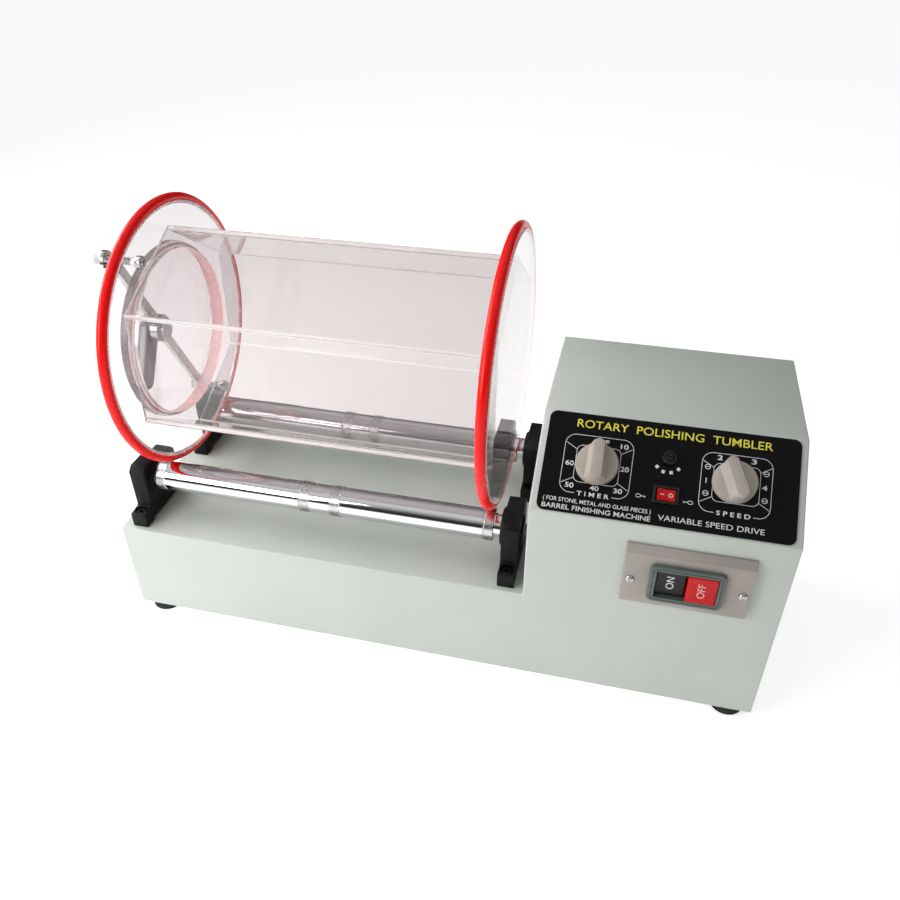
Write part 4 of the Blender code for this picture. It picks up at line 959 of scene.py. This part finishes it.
bar_low, bar_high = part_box("clamp_bar")
pivot_y, pivot_z = bolt_spots["lower"]
reach = 2 * math.hypot(pivot_y, pivot_z)
lean = math.atan2(-pivot_z, -pivot_y)
bar_lay = Matrix.Translation((0, axis_y + pivot_y,
                              axis_z + pivot_z)) @ Matrix.Rotation(lean, 4, "X") @ UPRIGHT
boss_middle = (bar_low.x + bar_high.x) / 2
BAR_END, BAR_HALF, BAR_NECK, BAR_THICK = 0.0075, 0.0045, 0.0140, 0.0050
BOSS_LENGTH, BOSS_RADIUS = 0.0080, 0.0115
bar_outline = []
for centre, start, inward in ((reach, -105, -1), (0, 75, 1)):
    curve = arc(BAR_END, start, 15, 15, centre)
    neck = centre + inward * BAR_NECK
    bar_outline += [(neck, inward * BAR_HALF)] + curve + [(neck, -inward * BAR_HALF)]
bar = prism(bar_outline, boss_middle - BAR_THICK / 2, boss_middle + BAR_THICK / 2, bevel=0.0005)
boss = turned([(0, BOSS_LENGTH / 2), (BOSS_RADIUS - 0.0006, BOSS_LENGTH / 2),
               (BOSS_RADIUS, BOSS_LENGTH / 2 - 0.0006),
               (BOSS_RADIUS, -BOSS_LENGTH / 2 + 0.0006), (BOSS_RADIUS - 0.0006, -BOSS_LENGTH / 2),
               (0, -BOSS_LENGTH / 2)], 56, Matrix.Translation((reach / 2, 0, boss_middle)))
bar = carved(bar, [boss], "UNION")
way = SHANK + 0.0006
bar = carved(bar, [rod(way, 0.03, Matrix.Translation((0, 0, boss_middle)), 36),
                   rod(way, 0.03, Matrix.Translation((reach, 0, boss_middle)), 36),
                   block((2 * way, 0.020, 0.030), (reach, 0.010, boss_middle)),
                   rod(0.0045, 0.03, Matrix.Translation((reach / 2, 0, boss_middle)), 40)])
show("steel_clamp_bar", laid(bar, bar_lay), bright_steel, "lid_clamp", ["clamp_bar"], 30)

screw_box_low, screw_box_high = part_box("clamp_screw")
pad, head = screw_box_high.x, screw_box_low.x
PRESS_RADIUS, PRESS_STEP = 0.0042, 0.0006
screw_rows = [(0, pad), (0.0081, pad), (0.0085, pad - 0.0004), (0.0085, pad - 0.0013),
              (0.0082, pad - 0.0016),
              (PRESS_RADIUS, pad - 0.0016)]
turns = round((pad - 0.003 - head) / PRESS_STEP)
screw_rows += [(PRESS_RADIUS - (0.0003 if k % 2 else 0.0), pad - 0.0020 - PRESS_STEP * k)
               for k in range(1, turns - 1)]
screw_rows += [(0.0036, head), (0, head)]
show("pressing_screw", turned(screw_rows, 48, on_barrel(0)), bright_steel, "clamp_handle",
     ["clamp_screw"], 30)

lever_low, lever_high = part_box("clamp_lever")
lever_x = (lever_low.x + lever_high.x) / 2
LEVER_LENGTH, LEVER_HUB, LEVER_TIP, LEVER_THICK = 0.050, 0.0100, 0.0085, lever_high.x - lever_low.x
LEVER_ANGLE = math.radians(-120)
lever_outline = arc(LEVER_HUB, -90, 12, 16) + arc(LEVER_TIP, 90, 12, 16, -LEVER_LENGTH)
lever = prism(lever_outline, -LEVER_THICK / 2, LEVER_THICK / 2, bevel=0.0032, segments=5,
              sharper_than=60)
lever = carved(lever, [rod(0.0045, 0.03, Matrix(), 40)])
lever_lay = Matrix.Translation((lever_x, axis_y, axis_z)) @ Matrix.Rotation(LEVER_ANGLE + math.pi,
                                                                            4, "X") @ UPRIGHT
show("cast_lever", laid(lever, lever_lay), cast_lever_metal, "clamp_handle", ["clamp_lever"],
     35)

# ---------------------------------------------------------------------------
# Control film: black polyester with rounded corners, stuck to the slope and
# screen-printed in white and yellow. The print is a thin layer of ink.
label_film = finish("label_film", (0.003, 0.003, 0.004), 0.36, Specular_IOR_Level=0.10)
vary_roughness(label_film, grain(label_film, 70.0), 0.30, 0.42)
relief(label_film, grain(label_film, 1100.0), 0.00003, 0.4)
white_ink = finish("white_ink", (0.74, 0.74, 0.73), 0.45)
vary_color(white_ink, grain(white_ink, 700.0), (0.62, 0.62, 0.61), (0.80, 0.80, 0.79))
yellow_ink = finish("yellow_ink", (0.80, 0.72, 0.04), 0.45)
vary_color(yellow_ink, grain(yellow_ink, 700.0), (0.66, 0.58, 0.03), (0.85, 0.78, 0.06))
LABEL_X, LABEL_UP, LABEL_WIDTH, LABEL_HEIGHT = 0.4950, 0.0442, 0.1985, 0.0860
LABEL_BOTTOM, LABEL_TOP = GAP, 0.0011
INK = 0.00006                     # thickness of the print


def rounded_outline(width, height, radius, x=0.0, y=0.0, steps=8):
    """A rectangle with round corners, as flat points."""
    points = []
    for sx, sy, start in ((1, 1, 0), (-1, 1, 90), (-1, -1, 180), (1, -1, 270)):
        for step in range(steps + 1):
            angle = math.radians(start + 90 * step / steps)
            points.append((x + sx * (width / 2 - radius) + radius * math.cos(angle),
                           y + sy * (height / 2 - radius) + radius * math.sin(angle)))
    return points


film = prism(rounded_outline(LABEL_WIDTH, LABEL_HEIGHT, 0.006, LABEL_X, LABEL_UP), LABEL_BOTTOM,
             LABEL_TOP)
film = carved(film, [rod(PANEL_HOLE, 0.02, Matrix.Translation((x, up, 0)), 40)
                     for x, up in panel_holes] +
              [block((*ROCKER_HOLE, 0.02), (*rocker_spot, 0))])
show("printed_film", laid(film, slope_frame), label_film, "cabinet", ["control_label"],
     30)


def ink_line(points, width, closed=False):
    """A printed line of even width along flat points, mitred at its bends."""
    sides = ([], [])
    count = len(points)
    for i, (x, y) in enumerate(points):
        before = Vector(points[i - 1 if closed or i else 0])
        after = Vector(points[(i + 1) % count if closed or i < count - 1 else i])
        along = (after - before).normalized()
        for edge, sign in zip(sides, (1, -1)):
            edge.append((x - sign * along.y * width / 2, y + sign * along.x * width / 2))
    work = bmesh.new()
    levels = [[[work.verts.new((x, y, z)) for x, y in edge] for edge in sides]
              for z in (LABEL_TOP, LABEL_TOP + INK)]
    low, high = levels
    spans = [(i, (i + 1) % count) for i in range(count if closed else count - 1)]
    for i, j in spans:
        work.faces.new((high[0][i], high[0][j], high[1][j], high[1][i]))
        work.faces.new((low[0][j], low[0][i], low[1][i], low[1][j]))
        for edge in (0, 1):
            work.faces.new((high[edge][i], high[edge][j], low[edge][j], low[edge][i]))
    if not closed:
        for i in (0, count - 1):
            work.faces.new((high[0][i], high[1][i], low[1][i], low[0][i]))
    bmesh.ops.recalc_face_normals(work, faces=work.faces)
    return work


def lettering(words, size, place, thickness=INK, width=None, bold=0.0):
    """Plain lettering as a solid mesh, its middle on the given place, drawn out to a width
    if one is given."""
    curve = bpy.data.curves.new("letters", "FONT")
    curve.body = words
    curve.size = size
    curve.align_x = "CENTER"
    curve.align_y = "CENTER"
    curve.extrude = thickness / 2
    curve.offset = bold
    curve.resolution_u = 4
    holder = put_in("letters", curve)
    bpy.context.view_layer.update()
    work = worked_out(holder)
    bpy.data.objects.remove(holder, do_unlink=True)
    bmesh.ops.remove_doubles(work, verts=work.verts, dist=WELD)
    if width:
        reach = [vert.co.x for vert in work.verts]
        middle, scale = (max(reach) + min(reach)) / 2, width / (max(reach) - min(reach))
        for vert in work.verts:
            vert.co.x = (vert.co.x - middle) * scale
    return laid(work, place)


def on_film(x, up):
    """A place in the ink layer, x from the cabinet's left and up along the slope."""
    return Matrix.Translation((x, up, LABEL_TOP + INK / 2))


LINE = 0.00045                    # width of a printed line
BOLD = 0.00010
NUMBER = 0.0058                   # height of the dial numbers
CAPTION_HALF = 0.0147             # half the break in a dial's frame, for its caption
prints = []
dial_print = {"timer": (0.4390, 0.0433, 0.0549, 0.0500), "speed": (0.5470, 0.0430, 0.0537, 0.0492)}
for dial, (x, up, wide, high) in dial_print.items():
    outer = rounded_outline(wide, high, 0.0085, x, up)
    bottom = up - high / 2
    last = max(i for i, p in enumerate(outer) if p[1] <= bottom + 1e-6 and p[0] < x)
    path = outer[last + 1:] + outer[:last + 1]
    prints.append(ink_line([(x + CAPTION_HALF, bottom)] + path + [(x - CAPTION_HALF, bottom)],
                           LINE))
    prints.append(ink_line(rounded_outline(0.0354, 0.0317, 0.0050, x + 0.0003, up + 0.0004), LINE,
                           True))
    for sx in (-1, 1):
        for sy in (-1, 1):
            prints.append(ink_line([(x + sx * 0.0175, up + sy * 0.0122),
                                    (x + sx * 0.0265, up + sy * 0.0175)], LINE))
    prints.append(lettering(" ".join(dial.upper()), 0.0052, on_film(x, bottom), width=0.0255,
                            bold=BOLD))
timer_x, timer_up = dial_print["timer"][:2]
for words, dx, dy, width in (("OFF", 0.0010, 0.0205, 0.0130), ("10", 0.0200, 0.0188, 0.0064),
                             ("20", 0.0222, -0.0002, 0.0068), ("30", 0.0190, -0.0190, 0.0070),
                             ("40", 0.0004, -0.0193, 0.0070), ("50", -0.0195, -0.0192, 0.0070),
                             ("60", -0.0218, -0.0006, 0.0068)):
    prints.append(lettering(words, NUMBER, on_film(timer_x + dx, timer_up + dy), width=width,
                            bold=BOLD))
speed_x, speed_up = dial_print["speed"][:2]
for words, dx, dy, width in (("1", -0.0226, 0.0005, None), ("2", -0.0135, 0.0208, 0.0042),
                             ("3", 0.0123, 0.0208, 0.0042), ("4", 0.0215, 0.0004, 0.0042)):
    prints.append(lettering(words, NUMBER, on_film(speed_x + dx, speed_up + dy), width=width,
                            bold=BOLD))
for sx in (-1, 1):
    for dy in (0.0122, -0.0098):
        spot = (speed_x + sx * 0.0222, speed_up + dy)
        prints.append(ink_line(rounded_outline(0.0040, 0.0040, 0.0019, *spot, 4), 0.0005, True))
        prints.append(ink_line([(spot[0] - 0.0018, spot[1]), (spot[0] + 0.0018, spot[1])], 0.0005))
for x, up in ((0.4860, 0.0496), (0.4911, 0.0461), (0.4973, 0.0461), (0.5027, 0.0496)):
    away = (Vector((x, up)) - Vector(holder_spot)).normalized()
    prints.append(ink_line([(x - 0.0013 * away.x, up - 0.0013 * away.y),
                            (x + 0.0013 * away.x, up + 0.0013 * away.y)],
                           0.0026))
for x, sign in ((0.4762, -1), (0.5122, 1)):
    prints.append(ink_line(rounded_outline(0.0036, 0.0026, 0.0012, x + sign * 0.0020, 0.0235, 4),
                           0.0005, True))
    prints.append(ink_line([(x, 0.0235), (x - sign * 0.0036, 0.0235)], 0.0006))
    prints.append(ink_line([(x - sign * 0.0030, 0.0235), (x - sign * 0.0030, 0.0225)], 0.0006))
prints.append(lettering("( FOR STONE, METAL AND GLASS PIECES )", 0.0048, on_film(0.4428, 0.0112),
                        width=0.0850,
                        bold=0.00004))
prints.append(lettering("BARREL FINISHING MACHINE", 0.0056, on_film(0.4428, 0.0053), width=0.0855,
                        bold=0.00006))
prints.append(lettering("VARIABLE SPEED DRIVE", 0.0064, on_film(0.5310, 0.0079), width=0.0800))
show("white_print", laid(joined(*prints), slope_frame), white_ink, "cabinet",
     smooth_below=10)
title = lettering("ROTARY  POLISHING  TUMBLER", 0.0098, on_film(0.4958, 0.0780), width=0.1540,
                  bold=0.00005)
show("yellow_print", laid(title, slope_frame), yellow_ink, "cabinet",
     smooth_below=10)

# ---------------------------------------------------------------------------
# Timer and speed control: a clockwork timer and a step switch behind the
# slope, each with a plated shaft and a moulded knob with a finger grip.
for node in ("timer_housing", "speed_housing"):
    refinish(node, black_nylon)
for node in ("timer_shaft", "speed_shaft"):
    refinish(node, bright_steel)
knob_plastic = finish("knob_plastic", (0.42, 0.375, 0.33), 0.42, Specular_IOR_Level=0.35)
vary_color(knob_plastic, grain(knob_plastic, 55.0), (0.39, 0.35, 0.31), (0.45, 0.405, 0.355))
vary_roughness(knob_plastic, grain(knob_plastic, 140.0), 0.36, 0.50)
relief(knob_plastic, grain(knob_plastic, 850.0), 0.00006, 0.45)
KNOB_RADIUS, KNOB_LIFT, SKIRT, GRIP, TAPER = 0.0170, 0.0017, 0.0060, 0.0180, 0.48
SOCKET = 0.0033


def knob_with_grip():
    """A knob about local Z, its grip along local Y with flared flanks, hollow for the shaft."""
    skirt = [(0, KNOB_LIFT + SKIRT), (KNOB_RADIUS - 0.0012, KNOB_LIFT + SKIRT),
             (KNOB_RADIUS - 0.0004, KNOB_LIFT + SKIRT - 0.0003),
             (KNOB_RADIUS, KNOB_LIFT + SKIRT - 0.0010),
             (KNOB_RADIUS + 0.0002, KNOB_LIFT + 0.0016), (KNOB_RADIUS + 0.0003, KNOB_LIFT + 0.0010),
             (KNOB_RADIUS + 0.0003, KNOB_LIFT + 0.0003), (KNOB_RADIUS, KNOB_LIFT), (0, KNOB_LIFT)]
    reach = KNOB_RADIUS - 0.0003
    ends = [(reach * math.cos(a), reach * math.sin(a)) for middle, half in ((90, 34), (270, 37))
            for a in [math.radians(middle - half + 2 * half * k / 10) for k in range(11)]]
    grip = prism(ends, KNOB_LIFT + 0.002, KNOB_LIFT + GRIP)
    for vert in grip.verts:
        if vert.co.z > KNOB_LIFT + GRIP - 0.001:
            vert.co.x *= TAPER
    round_edges(grip, 0.0006, 3, 30)
    body = carved(turned(skirt, 96), [grip], "UNION")
    return carved(body, [rod(SOCKET, 0.024, Matrix.Translation((0, 0, KNOB_LIFT)), 40)])


for dial, turn in (("timer", 0.0), ("speed", math.radians(22))):
    x, up = dials[dial]
    lay = slope_frame @ Matrix.Translation((x, up, 0)) @ Matrix.Rotation(turn, 4, "Z")
    show(f"{dial}_grip_knob", laid(knob_with_grip(), lay), knob_plastic, f"{dial}_control",
         [f"{dial}_knob"], 30)

# ---------------------------------------------------------------------------
# Power rocker: a snap-in switch, black nylon frame and a red see-through
# rocker dished across its top, marked with a bar and a ring.
red_switch = finish("red_switch_plastic", (0.56, 0.005, 0.005), 0.34, Specular_IOR_Level=0.22,
                    Subsurface_Weight=0.15, Subsurface_Scale=0.002)
vary_color(red_switch, grain(red_switch, 150.0), (0.50, 0.004, 0.004), (0.60, 0.007, 0.006))
relief(red_switch, grain(red_switch, 600.0), 0.00004, 0.4)
collar_base = LABEL_TOP + GAP
collar = block((0.0205, 0.0145, 0.0022), (*rocker_spot, collar_base + 0.0011), Matrix(), 0.0007, 3)
body = block((0.0170, 0.0118, 0.0180), (*rocker_spot, collar_base + 0.0011 - 0.0090))
well = block((0.0158, 0.0106, 0.0240), (*rocker_spot, -0.0005))
rocker_frame = carved(carved(collar, [body], "UNION"), [well])
show("rocker_frame", laid(rocker_frame, slope_frame), black_nylon, "cabinet", ["rocker_housing"],
     35)
ROCKER_HALF, ROCKER_DEPTH, ROCKER_TURN = 0.0070, 0.0098, math.radians(7)
dish = [(ROCKER_HALF * (1 - k / 6), 0.0040 + 0.0010 * (1 - k / 6) ** 2) for k in range(13)]
rocker_outline = [(-ROCKER_HALF, -0.0010), (-0.004, -0.0045), (0.004, -0.0045),
                  (ROCKER_HALF, -0.0010)] + dish
rocker_lay = slope_frame @ Matrix.Translation((*rocker_spot,
                                               -0.0010)) @ Matrix.Rotation(ROCKER_TURN, 4, "Y")
rocker = prism(rocker_outline, -ROCKER_DEPTH / 2, ROCKER_DEPTH / 2,
               rocker_lay @ Matrix.Rotation(math.pi / 2, 4, "X"),
               0.0006, 2, 35)
show("red_rocker", rocker, red_switch, "rocker", ["rocker"], 40)


def dish_height(x):
    """Height of the rocker's dished top at a distance from its middle."""
    return 0.0040 + 0.0010 * (x / ROCKER_HALF) ** 2


MARK_X = 0.0033
bar_mark = block((0.0030, 0.0007, 0.0005), (-MARK_X, 0, dish_height(MARK_X)))
ring_mark = turned([(0.0017, 0.0003), (0.0017, -0.0004), (0.0011, -0.0004), (0.0011, 0.0003)], 32,
                   Matrix.Translation((MARK_X, 0, dish_height(MARK_X))))
rocker_marks = joined(bar_mark, ring_mark)
bmesh.ops.recalc_face_normals(rocker_marks, faces=rocker_marks.faces)
show("rocker_marks", laid(rocker_marks, rocker_lay), white_ink, "rocker")

# ---------------------------------------------------------------------------
# Round holder between the dials: black moulded body with a stepped flange,
# and a cap that turns with a coin slot.
holder_lay = slope_frame @ Matrix.Translation((*holder_spot, 0))
seat = LABEL_TOP + GAP
HOLDER_BORE = 0.0034
flange = [(HOLDER_BORE, seat + 0.0037), (HOLDER_BORE + 0.0003, seat + 0.0040),
          (0.0050, seat + 0.0040),
          (0.0055, seat + 0.0037), (0.0058, seat + 0.0032), (0.0058, seat + 0.0004), (0.0056, seat),
          (0.0045, seat), (0.0045, -0.028), (0.0020, -0.028), (0.0020, -0.026),
          (HOLDER_BORE, -0.026)]
show("round_holder", turned(flange, 64, holder_lay), black_nylon, "cabinet", ["fuse_holder"],
     30)
cap_top = seat + 0.0052
cap_reach = HOLDER_BORE - 0.0003
cap = turned([(0, cap_top), (0.0025, cap_top), (0.0028, cap_top - 0.0002),
              (cap_reach, cap_top - 0.0008),
              (cap_reach, -0.008), (0, -0.008)], 56)
cap = carved(cap, [block((0.0100, 0.0010, 0.0024), (0, 0, cap_top))])
show("slotted_cap", laid(cap, holder_lay), black_nylon, "fuse_cap", ["fuse_cap"],
     35)

# ---------------------------------------------------------------------------
# Push-button switch on the head's front: a moulded warm-grey plate held by two
# cross-head screws, a grey-green bezel, and linked ON and OFF keys.
PLATE_WIDTH, PLATE_HEIGHT, PLATE_DEPTH = 0.1005, 0.0628, 0.0070
WELL_WIDTH, WELL_HEIGHT = 0.0485, 0.0280
SCREW_SPREAD, SCREW_DROP = 0.0442, 0.0020
plate_plastic = finish("plate_plastic", (0.37, 0.33, 0.30), 0.42, Specular_IOR_Level=0.35)
vary_color(plate_plastic, grain(plate_plastic, 30.0), (0.35, 0.31, 0.28), (0.39, 0.35, 0.32))
relief(plate_plastic, grain(plate_plastic, 700.0), 0.00006, 0.4)
bezel_plastic = finish("bezel_plastic", (0.085, 0.115, 0.100), 0.40)
vary_color(bezel_plastic, grain(bezel_plastic, 80.0), (0.075, 0.102, 0.09), (0.10, 0.13, 0.115))
relief(bezel_plastic, grain(bezel_plastic, 700.0), 0.00006, 0.4)
black_key = finish("black_key_plastic", (0.008, 0.008, 0.009), 0.30, Specular_IOR_Level=0.3)
vary_roughness(black_key, grain(black_key, 200.0), 0.24, 0.38)
relief(black_key, grain(black_key, 800.0), 0.00004, 0.4)
section_half, chamfer = PLATE_HEIGHT / 2, 0.006
plate_section = [(-section_half, GAP), (section_half, GAP), (section_half, 0.002),
                 (section_half - chamfer, PLATE_DEPTH), (-section_half + chamfer, PLATE_DEPTH),
                 (-section_half, 0.002)]
plate_lay = front_frame @ Matrix.Translation((PLATE_X, PLATE_UP, 0))
plate = prism(plate_section, -PLATE_WIDTH / 2, PLATE_WIDTH / 2, UPRIGHT, 0.0006, 3)
holes = [block((WELL_WIDTH + 0.006, WELL_HEIGHT + 0.006, 0.04), (0, 0, 0))]
holes += [rod(0.0023, 0.04, Matrix.Translation((sign * SCREW_SPREAD, -SCREW_DROP, 0)), 32)
          for sign in (-1, 1)]
show("moulded_switch_plate", laid(carved(plate, holes), plate_lay), plate_plastic, "cabinet",
     ["switch_plate"], 35)

head_base = PLATE_DEPTH + GAP
PAN_RADIUS, PAN_HEIGHT = 0.0036, 0.0021
pan = [(PAN_RADIUS * math.sin(a), head_base + PAN_HEIGHT * math.cos(a))
       for a in [math.pi / 2 * k / 7 for k in range(8)]]
pan[0] = (0, head_base + PAN_HEIGHT)
cross_screw = turned(pan[:-1] +
                     [(PAN_RADIUS, head_base + 0.0002), (0.0035, head_base), (0.0020, head_base),
                                 (0.0020, 0.0008), (0, 0.0008)], 48)
cross_screw = carved(cross_screw, [block(size, (0, 0, head_base + PAN_HEIGHT))
                                   for size in ((0.0038, 0.0008, 0.0022),
                                                (0.0008, 0.0038, 0.0022))])
screw_spots = [front_frame @ Vector((PLATE_X + sign * SCREW_SPREAD, PLATE_UP - SCREW_DROP, 0))
               for sign in (-1, 1)]
set_out_pieces("plate_cross_screws", cross_screw, screw_spots,
               [(math.pi / 2, 0.4, 0), (math.pi / 2, -0.2, 0)],
               bright_steel, "cabinet", ["plate_screw_left", "plate_screw_right"])

COLLAR = 0.0038
bezel = prism(rounded_outline(0.0590, 0.0375, 0.0050), head_base, head_base + COLLAR, Matrix(),
              0.0009, 3, 60)
bezel = carved(bezel, [block((WELL_WIDTH + 0.005, WELL_HEIGHT + 0.005, 0.045),
                             (0, 0, head_base + 0.001 - 0.0225))],
               "UNION")
bezel = carved(bezel, [block((WELL_WIDTH, WELL_HEIGHT, 0.028),
                             (0, 0, head_base + COLLAR + 0.002 - 0.014)),
                       carved(prism(rounded_outline(0.0540, 0.0330, 0.0036),
                                    head_base + COLLAR - 0.0007, head_base + 0.01),
                              [prism(rounded_outline(0.0526, 0.0316, 0.0030), head_base,
                                     head_base + 0.02)])])
show("switch_bezel", laid(bezel, plate_lay), bezel_plastic, "cabinet", ["switch_housing"],
     35)

KEY_LENGTH, KEY_TRAVEL, KEY_HOLLOW = 0.016, 0.0045, 0.0008
key_face = PLATE_DEPTH + 0.0046
key_width, key_height = WELL_WIDTH / 2 - 3 * GAP, WELL_HEIGHT - 3 * GAP
pale_red_ink = finish("pale_red_ink", (0.80, 0.42, 0.42), 0.45)
vary_color(pale_red_ink, grain(pale_red_ink, 600.0), (0.72, 0.36, 0.36), (0.84, 0.48, 0.47))
for words, sign, sunk, coat, ink, slot in (("ON", -1, KEY_TRAVEL, black_key, white_ink,
                                            "black_plastic"),
                                           ("OFF", 1, 0.0, red_switch, pale_red_ink,
                                            "red_plastic")):
    lay = plate_lay @ Matrix.Translation((sign * WELL_WIDTH / 4, 0, key_face - sunk))
    hollow = [(key_height / 2 - key_height * k / 12, -KEY_HOLLOW * (1 - (k / 6 - 1) ** 2))
              for k in range(13)]
    key_outline = [(-key_height / 2, -KEY_LENGTH), (key_height / 2, -KEY_LENGTH)] + hollow
    key = prism(key_outline, -key_width / 2, key_width / 2, lay @ UPRIGHT, 0.0009, 3, 50)
    body = f"{words.lower()}_button"
    show(f"{words.lower()}_key", key, coat, body, [body], 40)
    letters = lettering(words, 0.0088,
                        Matrix.Translation((0, 0, -0.0007)) @ Matrix.Rotation(math.pi / 2, 4, "Z"),
                        0.0006)
    for vert in letters.verts:
        vert.co.z += KEY_HOLLOW * (vert.co.y / (key_height / 2)) ** 2
    show(f"{words.lower()}_letters", laid(letters, lay), ink, body, smooth_below=10)
